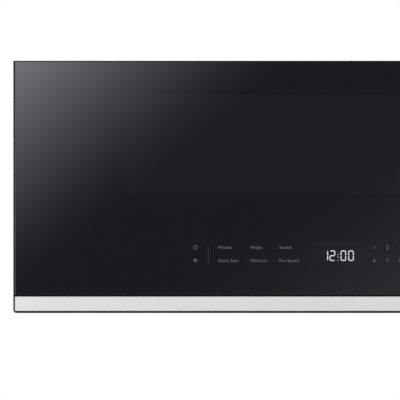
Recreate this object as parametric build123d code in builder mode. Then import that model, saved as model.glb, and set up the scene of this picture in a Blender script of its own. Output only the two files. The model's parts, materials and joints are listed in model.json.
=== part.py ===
from build123d import *
import math
import os

# A low-profile over-the-range microwave oven for a 30 inch cabinet opening: a steel case with an
# oven box in its middle, side bays for the electrics, a rear bay for the vent blower, a plenum with
# grease filters below, and a full-width glass door hinged on the left.
# Millimetres. +Z is up, the door faces -Y, and the origin is the middle of the underside.

os.makedirs("parts", exist_ok=True)

# ---------------------------------------------------------------------------- overall sizes
width = 759.0                # 29 7/8 in
height = 279.0               # 11 in
depth = 460.0                # wall to the face of the glass
door_thickness = 38.0
door_gap = 3.0               # between the closed door and the case
case_inset = 2.5             # each side of the case is this much inside the door's side
sheet = 1.0                  # steel sheet of the case and the oven box
bend_radius = 2.5            # outer radius where the case wrapper is folded
fit = 0.3                    # gap between pieces that move on each other
pin_fit = 0.05               # radial gap of a pin in its hole

# Bays round the oven box, each from the outside of the case to the inside of the oven.
side_bay = 97.0
top_bay = 19.0
plenum_height = 84.0
rear_bay = 106.0

# ---------------------------------------------------------------------------- driving sizes, door
frame_border = 1.5           # black edge that shows beside the glass
top_border = 1.0
bottom_lip = 2.0             # black edge that shows below the trim strip
frame_corner = 3.5           # radius of the door's lower corners
glass_thickness = 4.0
glass_bevel = 0.3
glass_side_bevel = 0.9       # catches the light along the left and right edges
strip_height = 16.2
strip_depth = 7.0
strip_wall = 1.2
strip_reveal = 1.7           # dark groove between the strip and the glass
strip_reveal_depth = 2.5
bezel_thickness = 4.0        # ledge of the frame that the glass is bonded to
window_side_margin = 121.8   # edge of the door to the viewing window
window_top_margin = 36.4
window_bottom = 131.5
grip_length = 240.0          # finger pocket under the door
grip_end_margin = 22.0
grip_depth = 20.0
grip_height = 16.0
grip_wall = 2.5

# The choke is a folded channel round the window that keeps the microwaves in.
choke_start = 2.0            # from the oven's mouth to the channel
choke_width = 12.0
choke_depth = 22.0
choke_flange = 5.0
finger_pitch = 18.0
finger_slot = 3.0
finger_depth = 13.0
inner_window_thickness = 1.5
inner_window_lap = 8.0
choke_cover_inner_lip = 8.0
choke_cover_outer_lip = 3.0
choke_cover_thickness = 1.0
screen_recess = 0.6          # seat of the perforated screen in the window plate

# Touch controls behind the lower part of the glass.
board_thickness = 1.6
touch_board_width = 420.0
touch_board_height = 48.0
touch_board_bottom = 42.0
display_width = 59.6
display_height = 23.3
display_center_x = -22.8
display_bottom = 54.4
display_depth = 6.0

# Door hinges, left side.
hinge_inset = 10.0           # pivot from the side of the door
hinge_setback = 16.0         # pivot from the face of the glass
hinge_pin_radius = 3.0
hinge_pin_length = 14.0
hinge_arm_thickness = 2.5
hinge_arm_half_width = 6.0
hinge_tab_thickness = 2.0
hinge_tab_height = 44.0
hinge_tab_width = 30.0
hinge_screw_offset = 16.0    # screw line from the pivot
hinge_screw_spacing = 18.0
hinge_notch_height = 7.0
hinge_notch_depth = 32.5     # from the rear of the door
hinge_notch_width = 18.0
hinge_boss_radius = 8.0
hinge_boss_height = 20.0
bush_radius = 5.0
bush_flange_radius = 5.6
bush_flange = 0.5

# Door latch, right side.
latch_inset = 54.5           # middle of the latch bar from the side of the door
latch_width = 14.0
latch_bar_depth = 13.0
latch_bar_end = 22.0         # bar beyond its upper hook
latch_travel = 4.0
latch_guide_wall = 2.5
lower_hook_rise = 21.0       # lower hook above the floor of the oven
upper_hook_drop = 55.0       # upper hook below the roof of the oven
hook_reach = 29.0            # hook beyond the bar
hook_neck = 8.0
hook_nose_drop = 4.0
hook_nose_length = 16.0
hook_catch = 1.5             # how far the nose sits below the edge of its slot
hook_slot_head = 2.0         # room over a lifted hook
frame_back_wall = 2.5
spring_length = 14.0
spring_radius = 4.0
spring_wire = 0.9
spring_turns = 5

# ---------------------------------------------------------------------------- driving sizes, oven
oven_corner = 8.0
oven_flange = 12.0
port_width = 76.0
port_height = 44.0
port_rise = 8.0              # feed port above the middle of the oven
mica_margin = 9.0
mica_thickness = 0.8
lamp_hole_radius = 2.0
lamp_hole_pitch = 8.0
lamp_patch_inset = 90.0      # lamp holes from the oven's back wall
lamp_patch_drop = 40.0       # and below its roof
steam_patch_inset = 70.0     # steam holes from the oven's left wall
steam_patch_drop = 38.0
vent_hole_radius = 2.2
vent_hole_pitch = 9.0
tray_clearance = 14.0        # rim of the tray to the door and to the back wall
tray_thickness = 5.0
tray_rim_height = 8.0
tray_rim_width = 9.0
track_inset = 32.0           # middle of the rollers from the rim of the tray
roller_radius = 7.2
roller_width = 8.0
roller_axle_radius = 1.8
roller_bore_fit = 0.08
ring_width = 6.0
ring_height = 5.0
coupler_hub_radius = 8.0
coupler_lobe_reach = 24.0
coupler_lobe_width = 9.0
coupler_height = 13.0
coupler_stem_radius = 3.0
tray_motor_radius = 24.5
tray_motor_height = 20.0
tray_motor_ear = 32.0
tray_lug_radius = 4.0
tray_lug_circle = 18.0

# ---------------------------------------------------------------------------- driving sizes, case
plate_thickness = 2.0        # wall plate
wall_plate_inset = 59.5      # end of the wall plate from the side of the door
wall_plate_height = 190.0
wall_plate_bottom = 40.0
wall_bolt_radius = 3.5
wall_bolt_spacing_x = 406.4  # wall studs 16 in apart
wall_bolt_spacing_z = 120.0
bolt_head_clearance = 12.0
side_screw_heights = (60.0, 140.0, 220.0)
hook_tab_width = 40.0
hook_tab_spacing = 420.0
hook_tab_height = 9.0
hook_tab_gap = 0.4
cabinet_bolt_radius = 3.3
cabinet_bolt_inset = 49.5    # from the side of the door
cabinet_bolt_setback = 270.0 # from the wall
nut_radius = 7.0
nut_height = 5.0
flange_depth = 12.0          # folded edges of the back panel and base pan
louvre_count = 10
louvre_pitch = 9.0
louvre_width = 3.0
louvre_height = 42.0
louvre_center_z = 62.0
cord_inset_x = 50.0
cord_setback = 28.0
cord_hole_radius = 9.0
cord_bore_radius = 5.0
grommet_flange_radius = 12.0
grommet_flange = 3.0

duct_width = 254.0           # 10 in
duct_depth = 83.0            # 3 1/4 in
collar_height = 16.0
collar_wall = 2.0
collar_flange = 8.0
flap_thickness = 1.2
flap_barrel_radius = 2.4
flap_pin_radius = 1.5
flap_drop = 6.0              # flap below the top of the collar
duct_box_height = 40.0
duct_wall = 1.5

grille_length = 440.0
grille_depth = 40.0
grille_setback = 12.0
grille_thickness = 3.0
grille_rim = 4.0
grille_slat_count = 40
grille_slat_thickness = 1.6
grille_slat_lean = 30.0
charcoal_height = 9.0

filter_length = 220.0
filter_depth = 138.0
filter_height = 8.0
filter_lip = 4.0             # base sheet under each edge of the filter
filter_travel = 8.0
filter_inner_margin = 30.0   # from the middle of the case
filter_setback = 115.0       # from the front of the case
filter_rim = 9.0
filter_pad_height = 5.0
filter_groove_pitch = 11.0
filter_rail_height = 9.0
filter_tab_length = 26.0

lamp_x = 190.0
lamp_setback = 49.0          # middle of the lamp from the front of the case
lamp_length = 90.0
lamp_depth = 50.0
lamp_housing_height = 26.0
lamp_housing_wall = 1.2
lens_thickness = 2.0
lens_gap = 0.5
lens_barrel_radius = 2.4
lens_pin_radius = 0.9
lens_pin_length = 1.5
lamp_holder_length = 14.0
lamp_holder_width = 26.0
lamp_holder_drop = 22.0
bulb_radius = 9.9
bulb_neck_radius = 7.7
bulb_center = 22.0           # middle of the round end from the holder
bulb_drop = 11.0             # axis of the bulb below the housing's roof
oven_lamp_depth = 30.0
oven_lamp_length = 50.0
oven_lamp_height = 34.0
oven_lamp_wall = 1.5
oven_bulb_radius = 9.5
oven_bulb_setoff = 14.0      # axis of the bulb from the oven's wall
oven_bulb_base_radius = 8.0
oven_bulb_base_length = 14.0

# ---------------------------------------------------------------------------- driving sizes, vent
wheel_radius = 39.0
wheel_hub_radius = 9.0
wheel_width = 70.0
wheel_blade_count = 24
wheel_blade_thickness = 1.2
wheel_blade_chord = 11.0
wheel_blade_camber = 3.0
wheel_blade_lean = 2.5
wheel_disc = 2.0
wheel_ring = 3.0
wheel_hub_length = 21.0
shaft_reach = 24.5            # shaft inside each wheel
vent_shaft_radius = 4.0
vent_motor_radius = 36.0
vent_motor_length = 60.0
motor_to_housing = 6.0
scroll_start = 43.0
scroll_end = 48.0
scroll_tongue_angle = 120.0
scroll_wall = 1.5
inlet_radius = 30.0
blower_z = 104.0

# ---------------------------------------------------------------------------- driving sizes, power
waveguide_depth = 18.0
waveguide_drop = 31.0        # its top below the top of the case
waveguide_toe = 8.0          # its bottom below the port
waveguide_flange = 10.0
waveguide_margin = 3.0
magnetron_drop = 67.0        # its axis below the top of the case
magnetron_half_height = 34.0
magnetron_half_depth = 42.0
yoke_thickness = 2.0
antenna_radius = 9.0
magnet_radius = 26.0
magnet_thickness = 10.0
anode_radius = 18.0
fin_count = 6
fin_thickness = 0.8
filter_box_depth = 22.0
fan_size = 78.0
fan_depth = 24.0
fan_bore_radius = 36.0
fan_hub_radius = 14.0
fan_blade_count = 7
fan_setback = 42.0           # fan frame from the back panel
air_guide_wall = 1.5
core_length = 74.0
core_width = 84.0
core_height = 66.0
coil_overhang = 12.0
coil_width = 60.5
coil_height = 48.8
limb_width = 25.2
limb_height = 19.8
foot_height = 3.0
foot_length = 52.0
foot_overhang = 4.0
capacitor_length = 88.0
capacitor_width = 52.0
capacitor_height = 32.0
capacitor_gap = 23.0         # between the transformer's coils and the capacitor
capacitor_setback = 45.0     # rear of the capacitor from the rear of the fan
clamp_width = 18.0
clamp_thickness = 1.5
clamp_overhang = 13.0
terminal_spacing = 26.0
terminal_length = 9.0
diode_radius = 3.5
diode_length = 16.0
power_board_length = 96.0
power_board_height = 140.0
power_board_rise = 10.0      # its middle above the middle of the oven
power_board_setback = 104.0  # its middle in front of the lamp holes
relay_rise = 26.0            # middle of the relays above the board's lower edge
relay_pitch = 21.0
relay_count = 4
standoff = 5.0
noise_board_length = 84.0
noise_board_depth = 60.0
switch_width = 9.8
switch_pitch = 10.0
switch_depth = 16.0
switch_height = 28.0
plunger_radius = 1.5
plunger_length = 5.0
plunger_travel = 1.0
switch_post_radius = 1.4
latch_board_thickness = 3.0
latch_board_flange = 24.0
latch_board_margin = 26.0    # beyond the hooks, up and down
cutout_x = -90.0             # thermal cut-out on the oven's roof
cutout_inset = 64.0          # from the oven's back wall
cutout_cap_radius = 12.0
cutout_body_radius = 8.0
cutout_body_height = 7.0
bracket_margin = 4.0         # fan bracket beyond the fan, each side
bracket_sill = 42.0          # metal below and above the hole in the bracket
bracket_foot = 14.0
screw_head_radius = 4.0
screw_head_height = 2.0
screw_shank_radius = 1.8
screw_length = 7.0

# ---------------------------------------------------------------------------- places worked out
half_width = width / 2
case_half = half_width - case_inset
front_y = -depth / 2
wall_y = depth / 2
door_rear_y = front_y + door_thickness
case_y = door_rear_y + door_gap
door_top = height            # flush with the top of the case
oven_x = case_half - side_bay
oven_floor = plenum_height
oven_roof = height - top_bay
oven_height = oven_roof - oven_floor
oven_mid_z = (oven_floor + oven_roof) / 2
oven_front = case_y + sheet
oven_back = wall_y - rear_bay
tray_y = (oven_front + oven_back) / 2
back_y = wall_y - plate_thickness      # outer face of the back panel
back_inner_y = back_y - sheet
bay_y = (oven_back + sheet + back_inner_y) / 2
case_inner_x = case_half - sheet
case_inner_top = height - sheet
bay_x = (oven_x + sheet + case_inner_x) / 2     # middle of a side bay
latch_x = half_width - latch_inset
hook_heights = (oven_floor + lower_hook_rise, oven_roof - upper_hook_drop)
port_center_z = oven_mid_z + port_rise
tray_radius = (oven_back - oven_front) / 2 - tray_clearance
track_radius = tray_radius - track_inset
wall_plate_width = width - 2 * wall_plate_inset
filter_front_y = case_y + filter_setback
lamp_y = case_y + lamp_setback
waveguide_top = height - waveguide_drop
waveguide_bottom = port_center_z - port_height / 2 - waveguide_toe
magnetron_z = height - magnetron_drop
fan_y = (back_inner_y - fan_setback - fan_depth, back_inner_y - fan_setback)
capacitor_y = fan_y[1] - capacitor_setback - capacitor_length / 2
transformer_y = capacitor_y - capacitor_length / 2 - capacitor_gap - coil_overhang - core_length / 2


# ---------------------------------------------------------------------------- shared forms
def front_plane(y):
    """A sketch plane that faces the viewer at depth y, with sketch x along X and sketch y along Z."""
    return Plane.XZ.offset(-y)


def level(z):
    """A horizontal sketch plane at height z."""
    return Plane.XY.offset(z)


def side_plane(x):
    """A sketch plane that faces +X at x, with sketch x along Y and sketch y along Z."""
    return Plane.YZ.offset(x)


def block(x, y, z, mode=Mode.ADD):
    """Adds or cuts a box in the part being built. x, y and z are (low, high) pairs."""
    with Locations(((x[0] + x[1]) / 2, (y[0] + y[1]) / 2, (z[0] + z[1]) / 2)):
        Box(x[1] - x[0], y[1] - y[0], z[1] - z[0], mode=mode)


def around(middle, span):
    """The (low, high) pair that lies evenly round a middle."""
    return (middle - span / 2, middle + span / 2)


def save(piece, name):
    """Labels a finished piece and writes its STEP file."""
    piece.part.label = name
    export_step(piece.part, f"parts/{name}.step")


# ============================================================================ CASE
cabinet_bolt_x = half_width - cabinet_bolt_inset
cabinet_bolts = [(side * cabinet_bolt_x, wall_y - cabinet_bolt_setback) for side in (-1, 1)]
cord_spot = (half_width - cord_inset_x, wall_y - cord_setback)
grille_y = (oven_front + grille_setback, oven_front + grille_setback + grille_depth)
side_screws = [(back_inner_y - flange_depth / 2, z) for z in side_screw_heights]


def is_inner_fold(edge):
    """True for the two inner corners between the wrapper's top and its sides."""
    place = edge.center()
    return abs(place.Z - case_inner_top) < sheet / 2 and abs(abs(place.X) - case_inner_x) < sheet / 2


# Wrapper: one sheet folded over the top and down both sides.
with BuildPart() as outer_case:
    with BuildSketch(front_plane(oven_front)):
        Rectangle(2 * case_half, height, align=(Align.CENTER, Align.MIN))
        Rectangle(2 * case_inner_x, height - sheet, align=(Align.CENTER, Align.MIN), mode=Mode.SUBTRACT)
    extrude(amount=-(wall_y - oven_front))
    fillet(outer_case.edges().filter_by(Axis.Y).group_by(Axis.Z)[-1], bend_radius)
    fillet(outer_case.edges().filter_by(Axis.Y).filter_by(is_inner_fold), bend_radius - sheet)
    with BuildSketch(level(case_inner_top)):
        with Locations((0, bay_y)):
            Rectangle(duct_width, duct_depth)
        with Locations((0, sum(grille_y) / 2)):
            Rectangle(grille_length, grille_depth)
        with Locations(*cabinet_bolts):
            Circle(cabinet_bolt_radius)
        with Locations(cord_spot):
            Circle(cord_hole_radius)
    extrude(amount=sheet, mode=Mode.SUBTRACT)
    with BuildSketch(side_plane(-half_width)):
        with Locations((tray_y, louvre_center_z)):
            with GridLocations(louvre_pitch, 1, louvre_count, 1):
                Rectangle(louvre_width, louvre_height)
        with Locations(*side_screws):
            Circle(screw_shank_radius + fit)
    extrude(amount=width, mode=Mode.SUBTRACT)
    # Weld nuts under the roof for the two bolts that come down through the cabinet.
    with BuildSketch(level(case_inner_top - nut_height)):
        with Locations(*cabinet_bolts):
            RegularPolygon(nut_radius, 6)
            Circle(cabinet_bolt_radius, mode=Mode.SUBTRACT)
    extrude(amount=nut_height)
save(outer_case, "outer_case")

# Filter bays and lamp openings in the base.
filter_sides = {"left": -1, "right": 1}
filter_y = (filter_front_y, filter_front_y + filter_depth)
filter_x = (filter_inner_margin, filter_inner_margin + filter_length)


def mirrored(span, side):
    """A (low, high) pair along X, moved to the left of the middle where side is -1."""
    return tuple(sorted((side * span[0], side * span[1])))


lens_y = around(lamp_y, lamp_depth - 2 * lens_gap)
with BuildPart() as base_pan:
    block((-case_inner_x, case_inner_x), (oven_front, back_inner_y), (0, sheet))
    for side in filter_sides.values():
        x = mirrored(filter_x, side)
        block((x[0] + filter_lip, x[1] - filter_lip),
              (filter_y[0] + filter_lip, filter_y[1] - filter_lip), (0, sheet), Mode.SUBTRACT)
        # Rails that guide the filter's long edges.
        rail_x = mirrored((filter_x[0], filter_x[1] + filter_travel), side)
        for rail_y in (filter_y[0] - fit - sheet, filter_y[1] + fit):
            block(rail_x, (rail_y, rail_y + sheet), (sheet, sheet + filter_rail_height))
        block(around(side * lamp_x, lamp_length), around(lamp_y, lamp_depth), (0, sheet), Mode.SUBTRACT)
        # Folded side flange inside the wrapper.
        flange_x = mirrored((case_inner_x - sheet, case_inner_x), side)
        block(flange_x, (oven_front + flange_depth, back_inner_y), (sheet, sheet + flange_depth))
save(base_pan, "base_pan")

wall_bolt_z = wall_plate_bottom + wall_plate_height / 2
with BuildPart() as back_panel:
    block((-case_inner_x, case_inner_x), (back_inner_y, back_y), (0, case_inner_top))
    fillet(back_panel.edges().filter_by(Axis.Y).group_by(Axis.Z)[-1], bend_radius - sheet)
    # Folded edges, forward along the sides.
    for side in (-1, 1):
        flange_x = mirrored((case_inner_x - sheet, case_inner_x), side)
        block(flange_x, (back_inner_y - flange_depth, back_inner_y),
              (flange_depth + 2 * sheet, case_inner_top - bend_radius))
    with BuildSketch(side_plane(-half_width)):
        with Locations(*side_screws):
            Circle(screw_shank_radius + fit)
    extrude(amount=width, mode=Mode.SUBTRACT)
    # Room for the heads of the wall plate's bolts, and slots for its two hooks.
    with BuildSketch(front_plane(back_inner_y)):
        with Locations((0, wall_bolt_z)):
            with GridLocations(wall_bolt_spacing_x, wall_bolt_spacing_z, 2, 2):
                Circle(bolt_head_clearance)
        with Locations((0, wall_plate_bottom + hook_tab_height / 2)):
            with GridLocations(hook_tab_spacing, 1, 2, 1):
                Rectangle(hook_tab_width + 2, hook_tab_height + 2 * hook_tab_gap)
    extrude(amount=-sheet, mode=Mode.SUBTRACT)
save(back_panel, "back_panel")

# Wall plate: screwed to the studs, and the case hangs on its two upturned hooks.
with BuildPart() as wall_plate:
    with BuildSketch(front_plane(back_y)):
        with Locations((0, wall_bolt_z)):
            RectangleRounded(wall_plate_width, wall_plate_height, 8)
            with GridLocations(wall_bolt_spacing_x, wall_bolt_spacing_z, 2, 2):
                Circle(wall_bolt_radius, mode=Mode.SUBTRACT)
    extrude(amount=-plate_thickness)
    for side in (-1, 1):
        tab_x = around(side * hook_tab_spacing / 2, hook_tab_width)
        block(tab_x, (back_inner_y - hook_tab_gap - plate_thickness, back_y),
              (wall_plate_bottom, wall_plate_bottom + plate_thickness))
        block(tab_x, (back_inner_y - hook_tab_gap - plate_thickness, back_inner_y - hook_tab_gap),
              (wall_plate_bottom, wall_plate_bottom + hook_tab_height + 4))
save(wall_plate, "wall_plate")

# Front plate: the face that the door closes on, with the oven's mouth and the two latch slots.
hook_slot_low = [z - hook_neck / 2 - hook_nose_drop + hook_catch for z in hook_heights]
hook_slot_high = [z + hook_neck / 2 + latch_travel + hook_slot_head for z in hook_heights]
hook_slot_half = latch_width / 2 + 1.0
hinge_x = -half_width + hinge_inset
hinge_y = front_y + hinge_setback
hinge_tab_x = (hinge_x - hinge_arm_half_width, hinge_x - hinge_arm_half_width + hinge_tab_width)
upper_arm_z = door_top - hinge_notch_height + bush_flange + fit
lower_arm_z = hinge_notch_height - bush_flange - fit - hinge_arm_thickness
upper_tab_z = (upper_arm_z + hinge_arm_thickness - hinge_tab_height, upper_arm_z + hinge_arm_thickness)
lower_tab_z = (lower_arm_z, lower_arm_z + hinge_tab_height)
hinge_screws = [(hinge_x + hinge_screw_offset, (tab[0] + tab[1]) / 2 + step * hinge_screw_spacing / 2)
                for tab in (upper_tab_z, lower_tab_z) for step in (-1, 1)]
with BuildPart() as front_plate:
    with BuildSketch(front_plane(case_y)):
        Rectangle(2 * case_half, height, align=(Align.CENTER, Align.MIN))
        with Locations((0, oven_mid_z)):
            RectangleRounded(2 * oven_x, oven_height, oven_corner, mode=Mode.SUBTRACT)
        for low, high in zip(hook_slot_low, hook_slot_high):
            with Locations((latch_x, (low + high) / 2)):
                Rectangle(2 * hook_slot_half, high - low, mode=Mode.SUBTRACT)
        for arm_z in (upper_arm_z, lower_arm_z):
            with Locations((hinge_x, arm_z + hinge_arm_thickness / 2)):
                Rectangle(2 * hinge_arm_half_width, hinge_arm_thickness, mode=Mode.SUBTRACT)
        with Locations(*hinge_screws):
            Circle(screw_shank_radius + fit, mode=Mode.SUBTRACT)
    extrude(amount=-sheet)
save(front_plate, "front_plate")

# ============================================================================ OVEN BOX
lamp_patch = (oven_back - lamp_patch_inset, oven_roof - lamp_patch_drop)
vent_patch = (-oven_x + steam_patch_inset, oven_roof - steam_patch_drop)
with BuildPart() as cavity:
    with BuildSketch(front_plane(oven_front)):
        with Locations((0, oven_mid_z)):
            RectangleRounded(2 * (oven_x + sheet), oven_height + 2 * sheet, oven_corner + sheet)
    extrude(amount=-(oven_back + sheet - oven_front))
    with BuildSketch(front_plane(oven_front)):
        with Locations((0, oven_mid_z)):
            RectangleRounded(2 * oven_x, oven_height, oven_corner)
    extrude(amount=-(oven_back - oven_front), mode=Mode.SUBTRACT)
    # Mouth flange, spot welded behind the front plate.
    with BuildSketch(front_plane(oven_front)):
        with Locations((0, oven_mid_z)):
            RectangleRounded(2 * (oven_x + oven_flange), oven_height + 2 * oven_flange,
                             oven_corner + oven_flange)
            RectangleRounded(2 * oven_x, oven_height, oven_corner, mode=Mode.SUBTRACT)
    extrude(amount=-sheet)
    # Waveguide port in the right wall, lamp holes in the left, steam holes in the back.
    block((oven_x - sheet, oven_x + 2 * sheet), around(tray_y, port_width),
          around(port_center_z, port_height), Mode.SUBTRACT)
    with BuildSketch(side_plane(-oven_x - 2 * sheet)):
        with Locations(lamp_patch):
            with GridLocations(lamp_hole_pitch, lamp_hole_pitch, 5, 3):
                Circle(lamp_hole_radius)
    extrude(amount=3 * sheet, mode=Mode.SUBTRACT)
    with BuildSketch(front_plane(oven_back - sheet)):
        with Locations(vent_patch):
            with GridLocations(vent_hole_pitch, vent_hole_pitch, 6, 3):
                Circle(vent_hole_radius)
    extrude(amount=-3 * sheet, mode=Mode.SUBTRACT)
    with BuildSketch(level(oven_floor - 2 * sheet)):
        with Locations((0, tray_y)):
            Circle(coupler_hub_radius + 2)
    extrude(amount=3 * sheet, mode=Mode.SUBTRACT)
save(cavity, "cavity")

with BuildPart() as mica_cover:
    with BuildSketch(side_plane(oven_x - mica_thickness)):
        with Locations((tray_y, port_center_z)):
            RectangleRounded(port_width + 2 * mica_margin, port_height + 2 * mica_margin, 5)
    extrude(amount=mica_thickness)
save(mica_cover, "mica_cover")

# ============================================================================ TURNTABLE
roller_z = oven_floor + roller_radius + fit
tray_bottom = oven_floor + 2 * (roller_radius + fit)

with BuildPart() as glass_tray:
    with BuildSketch(Plane.XZ) as tray_section:
        with BuildLine():
            Polyline((0, tray_bottom), (track_radius + roller_width, tray_bottom),
                     (tray_radius - tray_rim_width + tray_thickness, tray_bottom + 2),
                     (tray_radius, tray_bottom + tray_thickness + tray_rim_height),
                     (tray_radius - tray_thickness * 0.7, tray_bottom + tray_thickness + tray_rim_height),
                     (tray_radius - tray_rim_width, tray_bottom + tray_thickness),
                     (0, tray_bottom + tray_thickness), close=True)
        make_face()
    revolve(axis=Axis.Z)
    # Three lugs under the middle that the coupler's lobes push against.
    with BuildSketch(level(tray_bottom)):
        with PolarLocations(tray_lug_circle, 3, start_angle=90):
            Circle(tray_lug_radius)
    extrude(amount=-4)
glass_tray.part = Pos(0, tray_y, 0) * glass_tray.part
save(glass_tray, "glass_tray")

coupler_top = tray_bottom - fit
with BuildPart() as drive_coupler:
    with BuildSketch(level(coupler_top - coupler_height)):
        with Locations((0, tray_y)):
            Circle(coupler_hub_radius)
    extrude(amount=coupler_height)
    with BuildSketch(level(coupler_top - 5)):
        with Locations((0, tray_y)):
            with PolarLocations(coupler_lobe_reach / 2, 3, start_angle=30):
                Rectangle(coupler_lobe_reach, coupler_lobe_width)
    extrude(amount=5)
    with BuildSketch(level(oven_floor - sheet - tray_motor_height * 0.5)):
        with Locations((0, tray_y)):
            Circle(coupler_stem_radius)
    extrude(amount=tray_motor_height * 0.5 + 4)
save(drive_coupler, "drive_coupler")

with BuildPart() as turntable_motor:
    with BuildSketch(level(oven_floor - sheet)):
        with Locations((0, tray_y)):
            Circle(tray_motor_radius)
            SlotCenterToCenter(2 * tray_motor_ear, 12)
    extrude(amount=-sheet)
    with BuildSketch(level(oven_floor - 2 * sheet)):
        with Locations((0, tray_y)):
            Circle(tray_motor_radius)
    extrude(amount=-(tray_motor_height - sheet))
    with Locations((0, tray_y - tray_motor_radius, oven_floor - sheet - tray_motor_height / 2)):
        Box(14, 10, 12)
    with BuildSketch(level(oven_floor - sheet)):
        with Locations((0, tray_y)):
            Circle(coupler_stem_radius + fit)
    extrude(amount=-(tray_motor_height * 0.5 + 1), mode=Mode.SUBTRACT)
save(turntable_motor, "turntable_motor")

# The ring carries three rollers on stub axles. It turns at half the tray's speed.
ring_outer = track_radius - roller_width / 2 - fit
roller_angles = {"roller_front": -90.0, "roller_right": 30.0, "roller_left": 150.0}
axle_end = track_radius + roller_width / 2 + fit
with BuildPart() as roller_ring:
    with BuildSketch(level(roller_z - ring_height / 2)):
        with Locations((0, tray_y)):
            Circle(ring_outer)
            Circle(ring_outer - ring_width, mode=Mode.SUBTRACT)
    extrude(amount=ring_height)
    for angle in roller_angles.values():
        spoke = Plane(origin=(0, tray_y, roller_z), z_dir=(math.cos(math.radians(angle)),
                                                           math.sin(math.radians(angle)), 0))
        with BuildSketch(spoke.offset(ring_outer - ring_width / 2)):
            Circle(roller_axle_radius)
        extrude(amount=axle_end - ring_outer + ring_width / 2)
        with BuildSketch(spoke.offset(axle_end)):
            Circle(roller_axle_radius + 1.4)
        extrude(amount=1.5)
save(roller_ring, "roller_ring")

for name, angle in roller_angles.items():
    spoke = Plane(origin=(0, tray_y, roller_z), z_dir=(math.cos(math.radians(angle)),
                                                       math.sin(math.radians(angle)), 0))
    with BuildPart() as roller:
        with BuildSketch(spoke.offset(track_radius - roller_width / 2)):
            Circle(roller_radius)
            Circle(roller_axle_radius + roller_bore_fit, mode=Mode.SUBTRACT)
        extrude(amount=roller_width)
    save(roller, name)

# ============================================================================ CASE, FITTINGS
with BuildPart() as cord_grommet:
    with BuildSketch(level(height)):
        with Locations(cord_spot):
            Circle(cord_hole_radius)
    extrude(amount=-sheet - grommet_flange)
    with BuildSketch(level(case_inner_top)):
        with Locations(cord_spot):
            Circle(grommet_flange_radius)
    extrude(amount=-grommet_flange)
    with BuildSketch(level(height)):
        with Locations(cord_spot):
            Circle(cord_bore_radius)
    extrude(amount=-sheet - grommet_flange, mode=Mode.SUBTRACT)
    top_circles = cord_grommet.edges().filter_by(GeomType.CIRCLE).group_by(Axis.Z)[-1]
    fillet(top_circles.sort_by(SortBy.RADIUS)[0], 0.8)
save(cord_grommet, "cord_grommet")

# Top grille: a rim with leaning slats.
grille_z = height - grille_thickness
slat_pitch = (grille_length - 2 * grille_rim) / grille_slat_count
slat_shift = grille_thickness * math.tan(math.radians(grille_slat_lean))
with BuildPart() as vent_grille:
    with BuildSketch(level(grille_z)):
        with Locations((0, sum(grille_y) / 2)):
            Rectangle(grille_length, grille_depth)
            Rectangle(grille_length - 2 * grille_rim, grille_depth - 2 * grille_rim, mode=Mode.SUBTRACT)
    extrude(amount=grille_thickness)
    with BuildSketch(front_plane(grille_y[0] + grille_rim)):
        with Locations((0, grille_z)):
            with GridLocations(slat_pitch, 1, grille_slat_count - 1, 1):
                Polygon((-slat_shift / 2 - grille_slat_thickness / 2, 0),
                        (-slat_shift / 2 + grille_slat_thickness / 2, 0),
                        (slat_shift / 2 + grille_slat_thickness / 2, grille_thickness),
                        (slat_shift / 2 - grille_slat_thickness / 2, grille_thickness), align=None)
    extrude(amount=-(grille_depth - 2 * grille_rim))
save(vent_grille, "vent_grille")

oven_top = oven_roof + sheet
with BuildPart() as charcoal_filter:
    with BuildSketch(level(oven_top)):
        with Locations((0, sum(grille_y) / 2)):
            RectangleRounded(grille_length - 2 * grille_rim, grille_depth - grille_rim, 2)
    extrude(amount=charcoal_height)
    with BuildSketch(level(oven_top + charcoal_height)):
        with Locations((0, sum(grille_y) / 2)):
            with GridLocations(grille_length / 5, 1, 5, 1):
                Rectangle(grille_length / 5 - 2 * grille_rim, grille_depth - 4 * grille_rim)
    extrude(amount=-1.5, mode=Mode.SUBTRACT)
save(charcoal_filter, "charcoal_filter")

# ============================================================================ EXHAUST
collar_top = height
collar_bottom = height - collar_height
flap_z = collar_top - flap_drop
flap_pivot_y = bay_y + duct_depth / 2 - collar_wall - flap_barrel_radius - fit
flap_front_y = bay_y - duct_depth / 2 + collar_wall + 2 * fit
flap_half = duct_width / 2 - collar_wall - 2 * fit
with BuildPart() as exhaust_collar:
    with BuildSketch(level(collar_bottom)):
        with Locations((0, bay_y)):
            Rectangle(duct_width, duct_depth)
    extrude(amount=collar_height)
    with BuildSketch(level(case_inner_top - duct_wall)):
        with Locations((0, bay_y)):
            Rectangle(duct_width + 2 * collar_flange, duct_depth + 2 * collar_flange)
    extrude(amount=duct_wall)
    with BuildSketch(level(collar_bottom)):
        with Locations((0, bay_y)):
            Rectangle(duct_width - 2 * collar_wall, duct_depth - 2 * collar_wall)
    extrude(amount=collar_height, mode=Mode.SUBTRACT)
    # Ledge that the closed flap rests over, and the two pin holes.
    stop_y = bay_y - duct_depth / 2 + collar_wall
    block((-flap_half, flap_half), (stop_y, stop_y + 4),
          (flap_z - fit - 2, flap_z - fit))
    with BuildSketch(side_plane(-duct_width / 2)):
        with Locations((flap_pivot_y, flap_z + flap_thickness / 2)):
            Circle(flap_pin_radius + pin_fit)
    extrude(amount=duct_width, mode=Mode.SUBTRACT)
save(exhaust_collar, "exhaust_collar")

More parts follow.
